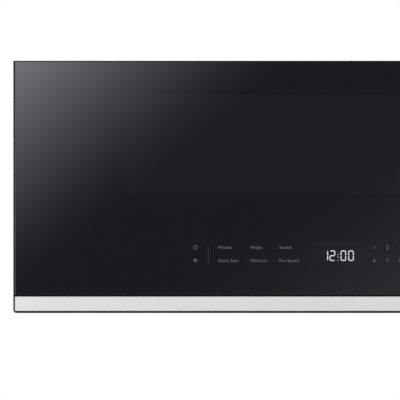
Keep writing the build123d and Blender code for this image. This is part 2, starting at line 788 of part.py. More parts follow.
with BuildPart() as damper_flap:
    block((-flap_half, flap_half), (flap_front_y, flap_pivot_y), (flap_z, flap_z + flap_thickness))
    with BuildSketch(side_plane(-flap_half)):
        with Locations((flap_pivot_y, flap_z + flap_thickness / 2)):
            Circle(flap_barrel_radius)
    extrude(amount=2 * flap_half)
    with BuildSketch(side_plane(-duct_width / 2)):
        with Locations((flap_pivot_y, flap_z + flap_thickness / 2)):
            Circle(flap_pin_radius)
    extrude(amount=duct_width)
    # Two stiffening beads pressed up from the flap.
    for side in (-1, 1):
        block(around(side * duct_width / 4, 8), (flap_front_y + 10, flap_pivot_y - 12),
              (flap_z + flap_thickness, flap_z + flap_thickness + 1))
save(damper_flap, "damper_flap")

# Blower: one moulding with two scrolls that blow up into a shared box under the collar.
motor_half = vent_motor_length / 2
scroll_x = (motor_half + motor_to_housing, motor_half + motor_to_housing + wheel_width + 4 * scroll_wall + 2)
duct_box_z = case_inner_top - duct_wall - duct_box_height
scroll_rear_y = bay_y + scroll_end
tongue = math.radians(scroll_tongue_angle)
scroll_front_y = bay_y + scroll_start * math.cos(tongue)


def scroll_profile(grow, top):
    """Face of one scroll in the current side sketch: a spiral round the shaft and a straight outlet.

    grow moves the walls outward, and top is the height at which the outlet ends.
    """
    steps = 12
    spiral = []
    for i in range(steps + 1):
        turn = i / steps
        angle = tongue + turn * (2 * math.pi - tongue)
        radius = scroll_start + turn * (scroll_end - scroll_start) + grow
        spiral.append((bay_y + radius * math.cos(angle), blower_z + radius * math.sin(angle)))
    with BuildLine() as outline:
        Spline(*spiral)
        Polyline(spiral[-1], (scroll_rear_y + grow, top), (scroll_front_y - grow, top),
                 (scroll_front_y - grow, spiral[0][1] + scroll_wall), spiral[0])
    make_face(outline.edges())


with BuildPart() as blower_housing:
    for side in (-1, 1):
        x = mirrored(scroll_x, side)
        with BuildSketch(side_plane(x[0])):
            scroll_profile(scroll_wall, duct_box_z + duct_wall)
        extrude(amount=x[1] - x[0])
    with BuildSketch(level(duct_box_z)):
        with Locations((0, bay_y)):
            Rectangle(duct_width + 2 * collar_flange, duct_depth + 2 * collar_flange)
    extrude(amount=duct_box_height)
    with BuildSketch(level(duct_box_z + duct_wall)):
        with Locations((0, bay_y)):
            Rectangle(duct_width + 2 * (collar_flange - duct_wall),
                      duct_depth + 2 * (collar_flange - duct_wall))
    extrude(amount=duct_box_height - duct_wall, mode=Mode.SUBTRACT)
    for side in (-1, 1):
        x = mirrored(scroll_x, side)
        with BuildSketch(side_plane(x[0] + scroll_wall)):
            scroll_profile(0, duct_box_z + duct_wall)
        extrude(amount=x[1] - x[0] - 2 * scroll_wall, mode=Mode.SUBTRACT)
        # Air inlet in the outer wall, shaft hole in the inner wall.
        with BuildSketch(side_plane(side * scroll_x[1])):
            with Locations((bay_y, blower_z)):
                Circle(inlet_radius)
        extrude(amount=-side * scroll_wall, mode=Mode.SUBTRACT)
        with BuildSketch(side_plane(side * scroll_x[0])):
            with Locations((bay_y, blower_z)):
                Circle(vent_shaft_radius + 2)
        extrude(amount=side * scroll_wall, mode=Mode.SUBTRACT)
save(blower_housing, "blower_housing")

wheel_x = (scroll_x[0] + 2 * scroll_wall + 1, scroll_x[0] + 2 * scroll_wall + 1 + wheel_width)

# One forward-curved blade, drawn at the rim on the sketch's own x axis.
blade_in = wheel_radius - wheel_blade_chord
blade_mid = wheel_radius - wheel_blade_chord / 2
blade_out = wheel_radius - 0.2
with BuildSketch() as blade:
    with BuildLine():
        front_arc = ThreePointArc((blade_out, 0), (blade_mid, -wheel_blade_camber),
                                  (blade_in, -wheel_blade_lean))
        rear_arc = ThreePointArc((blade_out, wheel_blade_thickness),
                                 (blade_mid, wheel_blade_thickness - wheel_blade_camber),
                                 (blade_in, wheel_blade_thickness - wheel_blade_lean))
        Line(front_arc @ 0, rear_arc @ 0)
        Line(front_arc @ 1, rear_arc @ 1)
    make_face()
for name, side in {"vent_wheel_left": -1, "vent_wheel_right": 1}.items():
    with BuildPart() as vent_wheel:
        # Back plate and hub on the motor side, end ring on the inlet side.
        with BuildSketch(side_plane(side * wheel_x[0])):
            with Locations((bay_y, blower_z)):
                Circle(wheel_radius)
        extrude(amount=side * wheel_disc)
        with BuildSketch(side_plane(side * wheel_x[0])):
            with Locations((bay_y, blower_z)):
                Circle(wheel_hub_radius)
        extrude(amount=side * wheel_hub_length)
        with BuildSketch(side_plane(side * (wheel_x[1] - wheel_ring))):
            with Locations((bay_y, blower_z)):
                Circle(wheel_radius)
                Circle(wheel_radius - wheel_ring, mode=Mode.SUBTRACT)
        extrude(amount=side * wheel_ring)
        # Forward-curved blades.
        with BuildSketch(side_plane(side * wheel_x[0])):
            with Locations((bay_y, blower_z)):
                with PolarLocations(0, wheel_blade_count):
                    add(blade.sketch)
        extrude(amount=side * wheel_width)
        with BuildSketch(side_plane(side * wheel_x[0])):
            with Locations((bay_y, blower_z)):
                Circle(vent_shaft_radius)
        extrude(amount=side * wheel_width, mode=Mode.SUBTRACT)
    save(vent_wheel, name)

with BuildPart() as vent_shaft:
    with BuildSketch(side_plane(-wheel_x[0] - shaft_reach)):
        with Locations((bay_y, blower_z)):
            Circle(vent_shaft_radius)
    extrude(amount=2 * (wheel_x[0] + shaft_reach))
    shaft_ends = vent_shaft.faces().sort_by(Axis.X)
    chamfer(shaft_ends[0].edges() + shaft_ends[-1].edges(), 0.6)
save(vent_shaft, "vent_shaft")

with BuildPart() as vent_motor:
    with BuildSketch(side_plane(-motor_half)):
        with Locations((bay_y, blower_z)):
            Circle(vent_motor_radius)
    extrude(amount=vent_motor_length)
    fillet(vent_motor.edges().filter_by(GeomType.CIRCLE), 5)
    # Four feet at each end that stand on the blower housing.
    for side in (-1, 1):
        with BuildSketch(side_plane(side * (motor_half - 6))):
            with Locations((bay_y, blower_z)):
                with PolarLocations(vent_motor_radius - 9, 4, start_angle=45):
                    Circle(3.5)
        extrude(amount=side * (motor_to_housing + 6))
    # Lead box on the front of the motor.
    block(around(0, 26), (bay_y - vent_motor_radius - 8, bay_y - vent_motor_radius + 6), around(blower_z, 18))
    with BuildSketch(side_plane(-motor_half - 1)):
        with Locations((bay_y, blower_z)):
            Circle(vent_shaft_radius + pin_fit)
    extrude(amount=vent_motor_length + 2, mode=Mode.SUBTRACT)
save(vent_motor, "vent_motor")

# ============================================================================ GREASE FILTERS
for name, side in {"grease_filter_left": -1, "grease_filter_right": 1}.items():
    x = mirrored(filter_x, side)
    filter_z = sheet + fit
    with BuildPart() as grease_filter:
        block(x, filter_y, (filter_z, filter_z + filter_height))
        block((x[0] + filter_rim, x[1] - filter_rim), (filter_y[0] + filter_rim, filter_y[1] - filter_rim),
              (filter_z, filter_z + filter_height), Mode.SUBTRACT)
        # Mesh pad with the pressed waves of the folded wire mesh.
        pad_z = filter_z + (filter_height - filter_pad_height) / 2
        block((x[0] + filter_rim, x[1] - filter_rim), (filter_y[0] + filter_rim, filter_y[1] - filter_rim),
              (pad_z, pad_z + filter_pad_height))
        groove_count = int((filter_depth - 2 * filter_rim) / filter_groove_pitch)
        for z in (pad_z, pad_z + filter_pad_height):
            with BuildSketch(side_plane(x[0] + filter_rim)):
                with Locations((sum(filter_y) / 2, z)):
                    with GridLocations(filter_groove_pitch, 1, groove_count, 1):
                        Circle(filter_pad_height * 0.3)
            extrude(amount=x[1] - x[0] - 2 * filter_rim, mode=Mode.SUBTRACT)
        # Finger tab near the inner end, in the plane of the base.
        tab_x = mirrored((filter_x[0] + filter_lip + 1, filter_x[0] + filter_rim - 0.5), side)
        block(tab_x, around(sum(filter_y) / 2, filter_tab_length), (fit, filter_z))
        edges = grease_filter.edges().filter_by(Axis.Z)
        corners = [e for e in edges if abs(abs(e.center().X - sum(x) / 2) - filter_length / 2) < 0.1]
        fillet(corners, 4)
    save(grease_filter, name)

# ============================================================================ COOKTOP LIGHTS
housing_z = (sheet, sheet + lamp_housing_height)
lens_half = lamp_length / 2 - lens_gap
lens_span_y = (lamp_y - lamp_depth / 2 + lens_gap, lamp_y + lamp_depth / 2 - lens_gap)
lens_pivot = (lens_span_y[0] + lens_barrel_radius, lens_barrel_radius)
with BuildPart() as lamp_housings:
    for side in (-1, 1):
        middle = side * lamp_x
        block(around(middle, lamp_length + 2 * lamp_housing_wall),
              around(lamp_y, lamp_depth + 2 * lamp_housing_wall), housing_z)
        block(around(middle, lamp_length), around(lamp_y, lamp_depth),
              (housing_z[0], housing_z[1] - lamp_housing_wall), Mode.SUBTRACT)
        # Lamp holder on the outer end wall.
        holder_x = mirrored((lamp_x + lamp_length / 2 - lamp_holder_length, lamp_x + lamp_length / 2), side)
        block(holder_x, around(lamp_y, lamp_holder_width),
              (housing_z[1] - lamp_holder_drop, housing_z[1] - lamp_housing_wall))
        with BuildSketch(side_plane(middle - lamp_length / 2 - lamp_housing_wall)):
            with Locations(lens_pivot):
                Circle(lens_pin_radius + pin_fit)
        extrude(amount=lamp_length + 2 * lamp_housing_wall, mode=Mode.SUBTRACT)
save(lamp_housings, "lamp_housings")

bulb_z = housing_z[1] - lamp_housing_wall - bulb_drop
with BuildPart() as cooktop_bulbs:
    for side in (-1, 1):
        # Half of the bulb's outline, from its neck in the holder to its round tip, turned about its axis.
        holder_face = side * (lamp_x + lamp_length / 2 - lamp_holder_length)
        neck_end = bulb_center - math.sqrt(bulb_radius**2 - bulb_neck_radius**2)
        shoulder = (holder_face - side * neck_end, lamp_y + bulb_neck_radius)
        crown = (holder_face - side * bulb_center, lamp_y + bulb_radius)
        tip = (holder_face - side * (bulb_center + bulb_radius), lamp_y)
        with BuildSketch(level(bulb_z)):
            with BuildLine():
                Polyline((holder_face, lamp_y), (holder_face, lamp_y + bulb_neck_radius), shoulder)
                ThreePointArc(shoulder, crown, tip)
                Line(tip, (holder_face, lamp_y))
            make_face()
        revolve(axis=Axis((holder_face, lamp_y, bulb_z), (1, 0, 0)))
save(cooktop_bulbs, "cooktop_bulbs")

for name, side in {"lamp_cover_left": -1, "lamp_cover_right": 1}.items():
    middle = side * lamp_x
    with BuildPart() as lamp_cover:
        block(around(middle, 2 * lens_half), (lens_pivot[0], lens_span_y[1]), (0, lens_thickness))
        with BuildSketch(side_plane(middle - lens_half)):
            with Locations(lens_pivot):
                Circle(lens_barrel_radius)
        extrude(amount=2 * lens_half)
        with BuildSketch(side_plane(middle - lens_half - lens_gap - lens_pin_length * 0.6)):
            with Locations(lens_pivot):
                Circle(lens_pin_radius)
        extrude(amount=2 * lens_half + 2 * lens_gap + 2 * lens_pin_length * 0.6)
        # Snap lip along the free edge.
        block(around(middle, 20), (lens_span_y[1] - 2.5, lens_span_y[1] - 1),
              (lens_thickness, lens_thickness + 4))
    save(lamp_cover, name)

with BuildPart() as oven_lamp:
    lamp_wall_x = -oven_x - sheet
    bulb_x = lamp_wall_x - oven_bulb_setoff
    block((lamp_wall_x - oven_lamp_depth, lamp_wall_x), around(lamp_patch[0], oven_lamp_length),
          around(lamp_patch[1], oven_lamp_height))
    block((lamp_wall_x - oven_lamp_depth + oven_lamp_wall, lamp_wall_x),
          around(lamp_patch[0], oven_lamp_length - 2 * oven_lamp_wall),
          around(lamp_patch[1], oven_lamp_height - 2 * oven_lamp_wall), Mode.SUBTRACT)
    bulb_base_y = lamp_patch[0] + oven_lamp_length / 2 - oven_lamp_wall
    with BuildSketch(front_plane(bulb_base_y)):
        with Locations((bulb_x, lamp_patch[1])):
            Circle(oven_bulb_base_radius)
    extrude(amount=oven_bulb_base_length)
    with Locations((bulb_x, bulb_base_y - oven_bulb_base_length - oven_bulb_radius / 2, lamp_patch[1])):
        Sphere(oven_bulb_radius)
save(oven_lamp, "oven_lamp")

# ============================================================================ MICROWAVE POWER
guide_x = (oven_x + sheet, oven_x + sheet + waveguide_depth)
guide_half = port_width / 2 + waveguide_margin
with BuildPart() as waveguide:
    block(guide_x, (tray_y - guide_half, tray_y + guide_half), (waveguide_bottom, waveguide_top))
    toe_edge = waveguide.edges().filter_by(Axis.Y).group_by(Axis.Z)[0].sort_by(Axis.X)[-1]
    chamfer(toe_edge, waveguide_depth * 0.8)
    block((guide_x[0], guide_x[1] - sheet), (tray_y - guide_half + sheet, tray_y + guide_half - sheet),
          (waveguide_bottom + waveguide_depth, waveguide_top - sheet), Mode.SUBTRACT)
    # Weld flanges against the oven wall, above and below.
    block((guide_x[0], guide_x[0] + sheet), (tray_y - guide_half, tray_y + guide_half),
          (waveguide_bottom - waveguide_flange, waveguide_bottom))
    with BuildSketch(side_plane(guide_x[1] - sheet)):
        with Locations((tray_y, magnetron_z)):
            Circle(antenna_radius + 2)
    extrude(amount=sheet, mode=Mode.SUBTRACT)
save(waveguide, "waveguide")

yoke_x = (guide_x[1], guide_x[1] + 2 * (yoke_thickness + magnet_thickness) + 28)
fin_span = (yoke_x[0] + yoke_thickness + magnet_thickness, yoke_x[1] - yoke_thickness - magnet_thickness)
with BuildPart() as magnetron:
    # Yoke, a steel tube that is open to the cooling air at the front and back.
    with BuildSketch(front_plane(tray_y - magnetron_half_depth)):
        with Locations((sum(yoke_x) / 2, magnetron_z)):
            Rectangle(yoke_x[1] - yoke_x[0], 2 * magnetron_half_height)
            Rectangle(yoke_x[1] - yoke_x[0] - 2 * yoke_thickness,
                      2 * (magnetron_half_height - yoke_thickness), mode=Mode.SUBTRACT)
    extrude(amount=-2 * magnetron_half_depth)
    # Ring magnets, anode, cooling fins and antenna on one axis.
    with BuildSketch(side_plane(yoke_x[0])):
        with Locations((tray_y, magnetron_z)):
            Circle(anode_radius)
    extrude(amount=yoke_x[1] - yoke_x[0])
    for x in (yoke_x[0] + yoke_thickness, yoke_x[1] - yoke_thickness - magnet_thickness):
        with BuildSketch(side_plane(x)):
            with Locations((tray_y, magnetron_z)):
                Circle(magnet_radius)
        extrude(amount=magnet_thickness)
    fin_pitch = (fin_span[1] - fin_span[0]) / fin_count
    for i in range(fin_count):
        x = fin_span[0] + (i + 0.5) * fin_pitch
        block(around(x, fin_thickness), around(tray_y, 2 * magnetron_half_depth - 4),
              around(magnetron_z, 2 * (magnetron_half_height - yoke_thickness)))
    with BuildSketch(side_plane(yoke_x[0])):
        with Locations((tray_y, magnetron_z)):
            Circle(antenna_radius)
    extrude(amount=-(waveguide_depth * 0.7))
    # Filter box with the two supply terminals.
    block((yoke_x[1], yoke_x[1] + filter_box_depth), around(tray_y, 56), around(magnetron_z, 48))
    block((yoke_x[1] + 4, yoke_x[1] + 10), (tray_y + 28, tray_y + 36), around(magnetron_z, 20))
save(magnetron, "magnetron")

with BuildPart() as transformer:
    # Laminated core on welded feet, with the windings showing at its front and back.
    core_z = (sheet + foot_height, sheet + foot_height + core_height)
    block(around(bay_x, core_width), around(transformer_y, core_length), core_z)
    block(around(bay_x, core_width + 2 * foot_overhang), around(transformer_y, foot_length),
          (sheet, core_z[0]))
    coil_front = front_plane(transformer_y - core_length / 2 - coil_overhang)
    with BuildSketch(coil_front):
        with Locations((bay_x, sum(core_z) / 2)):
            RectangleRounded(coil_width, coil_height, 8)
    extrude(amount=-(core_length + 2 * coil_overhang))
    with BuildSketch(coil_front):
        with Locations((bay_x, sum(core_z) / 2)):
            RectangleRounded(limb_width, limb_height, 3)
    extrude(amount=-coil_overhang, mode=Mode.SUBTRACT)
    # Weld beads across the laminations.
    for x in (bay_x - core_width / 4, bay_x + core_width / 4):
        block(around(x, foot_overhang), around(transformer_y, core_length - 4),
              (core_z[1], core_z[1] + sheet))
save(transformer, "transformer")

capacitor_z = sheet + capacitor_height / 2 + clamp_thickness
capacitor_front = capacitor_y - capacitor_length / 2
with BuildPart() as capacitor:
    with BuildSketch(front_plane(capacitor_front)):
        with Locations((bay_x, capacitor_z)):
            SlotOverall(capacitor_width, capacitor_height)
    extrude(amount=-capacitor_length)
    # Clamp band with a foot on each side.
    with BuildSketch(front_plane(capacitor_y - clamp_width / 2)):
        with Locations((bay_x, capacitor_z)):
            SlotOverall(capacitor_width + 2 * clamp_thickness, capacitor_height + 2 * clamp_thickness)
        with Locations((bay_x, sheet + clamp_thickness / 2)):
            Rectangle(capacitor_width + 2 * clamp_overhang, clamp_thickness)
    extrude(amount=-clamp_width)
    # Terminals on the front end, and the diode between a terminal and the clamp foot.
    for x in around(bay_x, terminal_spacing):
        block(around(x, 6), (capacitor_front - terminal_length, capacitor_front), around(capacitor_z, 1.2))
        with BuildSketch(front_plane(capacitor_front)):
            with Locations((x, capacitor_z)):
                Circle(5)
        extrude(amount=4)
    with BuildSketch(front_plane(capacitor_y - clamp_width / 2 - diode_length)):
        with Locations((bay_x + capacitor_width / 2 + 8, sheet + diode_radius)):
            Circle(diode_radius)
    extrude(amount=-diode_length - 2)
save(capacitor, "capacitor")

fan_center = (bay_x, magnetron_z)
bracket_top = magnetron_z + fan_size / 2
bracket_hole = (sheet + bracket_sill, magnetron_z - fan_size / 2 - bracket_sill)
with BuildPart() as cooling_fan_frame:
    with BuildSketch(front_plane(fan_y[0])):
        with Locations(fan_center):
            RectangleRounded(fan_size, fan_size, 5)
            Circle(fan_bore_radius, mode=Mode.SUBTRACT)
    extrude(amount=-fan_depth)
    # Four struts at the back carry the motor.
    with BuildSketch(front_plane(fan_y[1] - 3)):
        with Locations(fan_center):
            Circle(fan_hub_radius)
            for angle in (0, 90):
                with Locations(Rotation(0, 0, angle + 45)):
                    Rectangle(2 * fan_bore_radius + 1, 5)
    extrude(amount=-3)
    with BuildSketch(front_plane(fan_y[1] - 12)):
        with Locations(fan_center):
            Circle(fan_hub_radius)
    extrude(amount=-12)
    # Bracket plate behind the fan, with a foot on the base.
    with BuildSketch(front_plane(fan_y[1])):
        with Locations((bay_x, (sheet + bracket_top) / 2)):
            Rectangle(fan_size + 2 * bracket_margin, bracket_top - sheet)
        with Locations(fan_center):
            Circle(fan_bore_radius - 1, mode=Mode.SUBTRACT)
        with Locations((bay_x, sum(bracket_hole) / 2)):
            RectangleRounded(fan_size - 8 * bracket_margin, bracket_hole[1] - bracket_hole[0], 6,
                             mode=Mode.SUBTRACT)
    extrude(amount=-sheet)
    with BuildSketch(front_plane(fan_y[1] - 3)):
        with Locations(fan_center):
            Circle(fan_hub_radius)
    extrude(amount=-3 - sheet)
    block(around(bay_x, fan_size + 2 * bracket_margin), (fan_y[1], fan_y[1] + bracket_foot),
          (sheet, 2 * sheet))
save(cooling_fan_frame, "cooling_fan_frame")

blade_depth = fan_depth - 14
with BuildPart() as cooling_fan_blade:
    hub_front = fan_y[0] + 1
    with BuildSketch(front_plane(hub_front)):
        with Locations(fan_center):
            Circle(fan_hub_radius)
    extrude(amount=-(fan_y[1] - 12 - 0.5 - hub_front))
    fillet(cooling_fan_blade.faces().sort_by(Axis.Y)[0].edges(), 2)
    for i in range(fan_blade_count):
        turn = 360 / fan_blade_count * i
        place = Pos(fan_center[0], hub_front + blade_depth / 2, fan_center[1]) * Rot(0, turn, 0)
        reach = fan_bore_radius - 1.5 - fan_hub_radius + 3
        with Locations(place * Pos(fan_hub_radius - 3 + reach / 2, 0, 0) * Rot(38, 0, 0)):
            Box(reach, 1.4, 12)
    with BuildSketch(front_plane(fan_y[0] - 1)):
        with Locations(fan_center):
            Circle(fan_bore_radius + 3)
            Circle(fan_bore_radius - 1.2, mode=Mode.SUBTRACT)
    extrude(amount=-fan_depth, mode=Mode.SUBTRACT)
save(cooling_fan_blade, "cooling_fan_blade")

# Air guide: a tapering duct from the fan to the magnetron's fins.
yoke_rear_y = tray_y + magnetron_half_depth
yoke_size = (yoke_x[1] - yoke_x[0], 2 * magnetron_half_height)
yoke_center = (sum(yoke_x) / 2, magnetron_z)
with BuildPart() as air_guide:
    for grow, mode in ((0, Mode.ADD), (-2 * air_guide_wall, Mode.SUBTRACT)):
        with BuildSketch(front_plane(fan_y[0])):
            with Locations(fan_center):
                Rectangle(fan_size + grow, fan_size + grow)
        with BuildSketch(front_plane(yoke_rear_y)):
            with Locations(yoke_center):
                Rectangle(yoke_size[0] + grow, yoke_size[1] + grow)
        loft(mode=mode)
save(air_guide, "air_guide")

with BuildPart() as power_board:
    board_x = -oven_x - sheet - standoff
    board_y = lamp_patch[0] - power_board_setback
    board_z = oven_mid_z + power_board_rise
    board_low = board_z - power_board_height / 2
    board_high = board_z + power_board_height / 2
    block((board_x - board_thickness, board_x), around(board_y, power_board_length), (board_low, board_high))
    for y in around(board_y, power_board_length - 12):
        for z in (board_low + 6, board_high - 6):
            with BuildSketch(side_plane(board_x)):
                with Locations((y, z)):
                    Circle(3)
            extrude(amount=standoff)
    # Relays, the low-voltage transformer, a connector and the control chip.
    face_x = board_x - board_thickness
    for i in range(relay_count):
        relay_y = board_y + (i - (relay_count - 1) / 2) * relay_pitch
        block((face_x - 16, face_x), around(relay_y, 16), around(board_low + relay_rise, 20))
    block((face_x - 28, face_x), around(board_y + 20, 36), around(board_high - 30, 32))
    block((face_x - 10, face_x), around(board_y - 24, 30), around(board_high - 18, 12))
    block((face_x - 4, face_x), around(board_y - 18, 22), around(board_z + 8, 22))
save(power_board, "power_board")

with BuildPart() as noise_filter:
    noise_y = bay_y - 26
    block(around(-bay_x, noise_board_length), around(noise_y, noise_board_depth),
          (sheet + standoff, sheet + standoff + board_thickness))
    for x in (-bay_x - noise_board_length / 2 + 6, -bay_x + noise_board_length / 2 - 6):
        for y in (noise_y - noise_board_depth / 2 + 6, noise_y + noise_board_depth / 2 - 6):
            with BuildSketch(level(sheet)):
                with Locations((x, y)):
                    Circle(3)
            extrude(amount=standoff)
    noise_top = sheet + standoff + board_thickness
    with BuildSketch(level(noise_top)):
        with Locations((-bay_x - 18, noise_y)):
            Circle(15)
            Circle(6, mode=Mode.SUBTRACT)
    extrude(amount=14)
    block(around(-bay_x + 20, 26), around(noise_y - 12, 12), (noise_top, noise_top + 20))
    with BuildSketch(level(noise_top)):
        with Locations((-bay_x + 22, noise_y + 14)):
            Circle(4)
    extrude(amount=22)
save(noise_filter, "noise_filter")

with BuildPart() as thermal_cutouts:
    for x, y, z in ((cutout_x, oven_back - cutout_inset, oven_top),
                    (sum(yoke_x) / 2, tray_y, magnetron_z + magnetron_half_height)):
        with BuildSketch(level(z)):
            with Locations((x, y)):
                Circle(cutout_cap_radius)
        extrude(amount=sheet)
        with BuildSketch(level(z + sheet)):
            with Locations((x, y)):
                Circle(cutout_body_radius)
        extrude(amount=cutout_body_height)
        blade_z = z + sheet + cutout_body_height
        for step in (-4, 4):
            block(around(x + step, 1), around(y, 6), (blade_z, blade_z + 6))
save(thermal_cutouts, "thermal_cutouts")

# ============================================================================ DOOR
glass_z = (bottom_lip + strip_height + strip_reveal, door_top - top_border)
glass_half = half_width - frame_border
glass_back_y = front_y + glass_thickness
bezel_back_y = glass_back_y + bezel_thickness
frame_inner_y = door_rear_y - frame_back_wall
window_half = half_width - window_side_margin
window_z = (window_bottom, door_top - window_top_margin)
choke_inner_x = oven_x + choke_start
choke_outer_x = choke_inner_x + choke_width
choke_z = (oven_floor - choke_start - choke_width, oven_roof + choke_start + choke_width)
plate_z = (oven_floor - choke_start, oven_roof + choke_start)
latch_bar_y = (frame_inner_y - fit - latch_bar_depth, frame_inner_y - fit)
latch_bar_z = (hook_heights[0] - latch_bar_end, hook_heights[1] + latch_bar_end)
shelf_z = latch_bar_z[1] + spring_length
grip_x = (half_width - grip_end_margin - grip_length, half_width - grip_end_margin)
grip_front_y = front_y + strip_depth + 2 * frame_back_wall
grip_y = (grip_front_y, grip_front_y + grip_depth)
board_y = (glass_back_y, glass_back_y + board_thickness)
board_z = (touch_board_bottom, touch_board_bottom + touch_board_height)
hinge_faces = {1: (door_top, door_top - hinge_notch_height), -1: (0, hinge_notch_height)}

with BuildPart() as door_frame:
    # Outline with rounded lower corners, hollow from the back of the bezel to the rear wall.
    with BuildSketch(front_plane(front_y)):
        Rectangle(width, door_top, align=(Align.CENTER, Align.MIN))
    extrude(amount=-door_thickness)
    fillet(door_frame.edges().filter_by(Axis.Y).group_by(Axis.Z)[0], frame_corner)
    block((-half_width + frame_back_wall, half_width - frame_back_wall), (bezel_back_y, frame_inner_y),
          (frame_back_wall, door_top - frame_back_wall), Mode.SUBTRACT)
    # Recesses for the glass and the trim strip, and the window.
    block((-glass_half, glass_half), (front_y, glass_back_y), glass_z, Mode.SUBTRACT)
    block((-glass_half, glass_half), (front_y, front_y + strip_depth),
          (bottom_lip, bottom_lip + strip_height), Mode.SUBTRACT)
    block((-glass_half, glass_half), (front_y, front_y + strip_reveal_depth),
          (bottom_lip + strip_height, glass_z[0]), Mode.SUBTRACT)
    block((-window_half, window_half), (front_y, bezel_back_y), window_z, Mode.SUBTRACT)
    # Pocket for the touch board behind the glass.
    block(around(0, touch_board_width + 2 * fit), (glass_back_y, bezel_back_y),
          (board_z[0] - fit, board_z[1] + fit), Mode.SUBTRACT)
    # Opening in the rear wall for the choke.
    block((-choke_outer_x, choke_outer_x), (frame_inner_y, door_rear_y), choke_z, Mode.SUBTRACT)
    # Finger pocket under the door, right of the middle.
    block((grip_x[0] - grip_wall, grip_x[1] + grip_wall), (grip_y[0] - grip_wall, grip_y[1] + grip_wall),
          (0, grip_height + grip_wall))
    with BuildSketch(level(0)):
        with Locations((sum(grip_x) / 2, sum(grip_y) / 2)):
            Rectangle(grip_length, grip_depth)
    extrude(amount=grip_height, mode=Mode.SUBTRACT)
    # Guides and spring shelf for the latch bar.
    for side in (-1, 1):
        guide_middle = latch_x + side * (latch_width + 2 * fit + latch_guide_wall) / 2
        block(around(guide_middle, latch_guide_wall), (latch_bar_y[0], frame_inner_y),
              (latch_bar_z[0], shelf_z + latch_guide_wall))
    block(around(latch_x, latch_width + 2 * fit), (latch_bar_y[0], frame_inner_y),
          (shelf_z, shelf_z + latch_guide_wall))
    for z in hook_heights:
        block(around(latch_x, latch_width + 2 * fit), (frame_inner_y, door_rear_y),
              (z - hook_neck / 2 - hook_nose_drop - fit, z + hook_neck / 2 + latch_travel + fit),
              Mode.SUBTRACT)
    # Hinge bosses, and the notches that the hinge arms swing in.
    for side, (edge_z, notch_z) in hinge_faces.items():
        with BuildSketch(level(notch_z)):
            with Locations((hinge_x, hinge_y)):
                Circle(hinge_boss_radius)
        extrude(amount=-side * hinge_boss_height)
        notch_x = (-half_width, -half_width + hinge_notch_width)
        floor_z = notch_z - side * frame_back_wall
        block((notch_x[0], notch_x[1] + frame_back_wall), (bezel_back_y, door_rear_y),
              (min(edge_z, floor_z), max(edge_z, floor_z)))
        block(notch_x, (door_rear_y - hinge_notch_depth, door_rear_y),
              (min(edge_z, notch_z), max(edge_z, notch_z)), Mode.SUBTRACT)
        with BuildSketch(level(notch_z)):
            with Locations((hinge_x, hinge_y)):
                Circle(bush_radius)
        extrude(amount=-side * hinge_boss_height, mode=Mode.SUBTRACT)
save(door_frame, "door_frame")

with BuildPart() as door_glass:
    block((-glass_half, glass_half), (front_y, glass_back_y), glass_z)
    chamfer(door_glass.faces().sort_by(Axis.Y)[0].edges().filter_by(Axis.Z), glass_side_bevel)
    chamfer(door_glass.faces().sort_by(Axis.Y)[0].edges().filter_by(Axis.X), glass_bevel)
save(door_glass, "door_glass")

# Trim strip: a metal channel, open to the rear, with softened long edges.
with BuildPart() as trim_strip:
    strip_z = (bottom_lip, bottom_lip + strip_height)
    block((-glass_half, glass_half), (front_y, front_y + strip_depth), strip_z)
    chamfer(trim_strip.faces().sort_by(Axis.Y)[0].edges(), 0.6)
    block((-glass_half, glass_half), (front_y + strip_wall, front_y + strip_depth),
          (strip_z[0] + strip_wall, strip_z[1] - strip_wall), Mode.SUBTRACT)
save(trim_strip, "trim_strip")

# Choke panel: the flat window plate, folded forward into a channel whose outer wall ends in fingers.
choke_front_y = door_rear_y - choke_depth
with BuildPart() as choke_panel:
    block((-choke_outer_x, choke_outer_x), (choke_front_y, door_rear_y), choke_z)
    # The channel, open to the oven's flange between the plate and the folded lip.
    block((-choke_outer_x + sheet, choke_outer_x - sheet), (choke_front_y + sheet, door_rear_y - sheet),
          (choke_z[0] + sheet, choke_z[1] - sheet), Mode.SUBTRACT)
    block((-choke_outer_x + sheet + choke_flange, choke_outer_x - sheet - choke_flange),
          (door_rear_y - sheet, door_rear_y),
          (choke_z[0] + sheet + choke_flange, choke_z[1] - sheet - choke_flange), Mode.SUBTRACT)
    block((-choke_inner_x + sheet, choke_inner_x - sheet), (choke_front_y, choke_front_y + sheet),
          (plate_z[0] + sheet, plate_z[1] - sheet), Mode.SUBTRACT)
    block((-choke_inner_x, choke_inner_x), (choke_front_y, door_rear_y), plate_z)
    block((-choke_inner_x + sheet, choke_inner_x - sheet), (choke_front_y, door_rear_y - sheet),
          (plate_z[0] + sheet, plate_z[1] - sheet), Mode.SUBTRACT)
    # Seat of the perforated screen, on the oven side of the plate.
    block((-window_half, window_half), (door_rear_y - screen_recess, door_rear_y), window_z, Mode.SUBTRACT)
    # Finger slots through the outer wall and its lip, along all four sides.
    slot_y = (door_rear_y - finger_depth, door_rear_y)
    for middle, span, is_level in ((0, 2 * choke_outer_x, True),
                                   (sum(choke_z) / 2, choke_z[1] - choke_z[0], False)):
        slots = int((span - 4 * choke_flange) / finger_pitch)
        for i in range(slots):
            at = middle + (i - (slots - 1) / 2) * finger_pitch
            slot = around(at, finger_slot)
            for side in (0, 1):
                if is_level:
                    wall = sorted((choke_z[side], choke_z[side] + (1 - 2 * side) * (sheet + choke_flange)))
                    block(slot, slot_y, wall, Mode.SUBTRACT)
                else:
                    edge_x = (2 * side - 1) * choke_outer_x
                    wall = sorted((edge_x, edge_x - (2 * side - 1) * (sheet + choke_flange)))
                    block(wall, slot_y, slot, Mode.SUBTRACT)
save(choke_panel, "choke_panel")

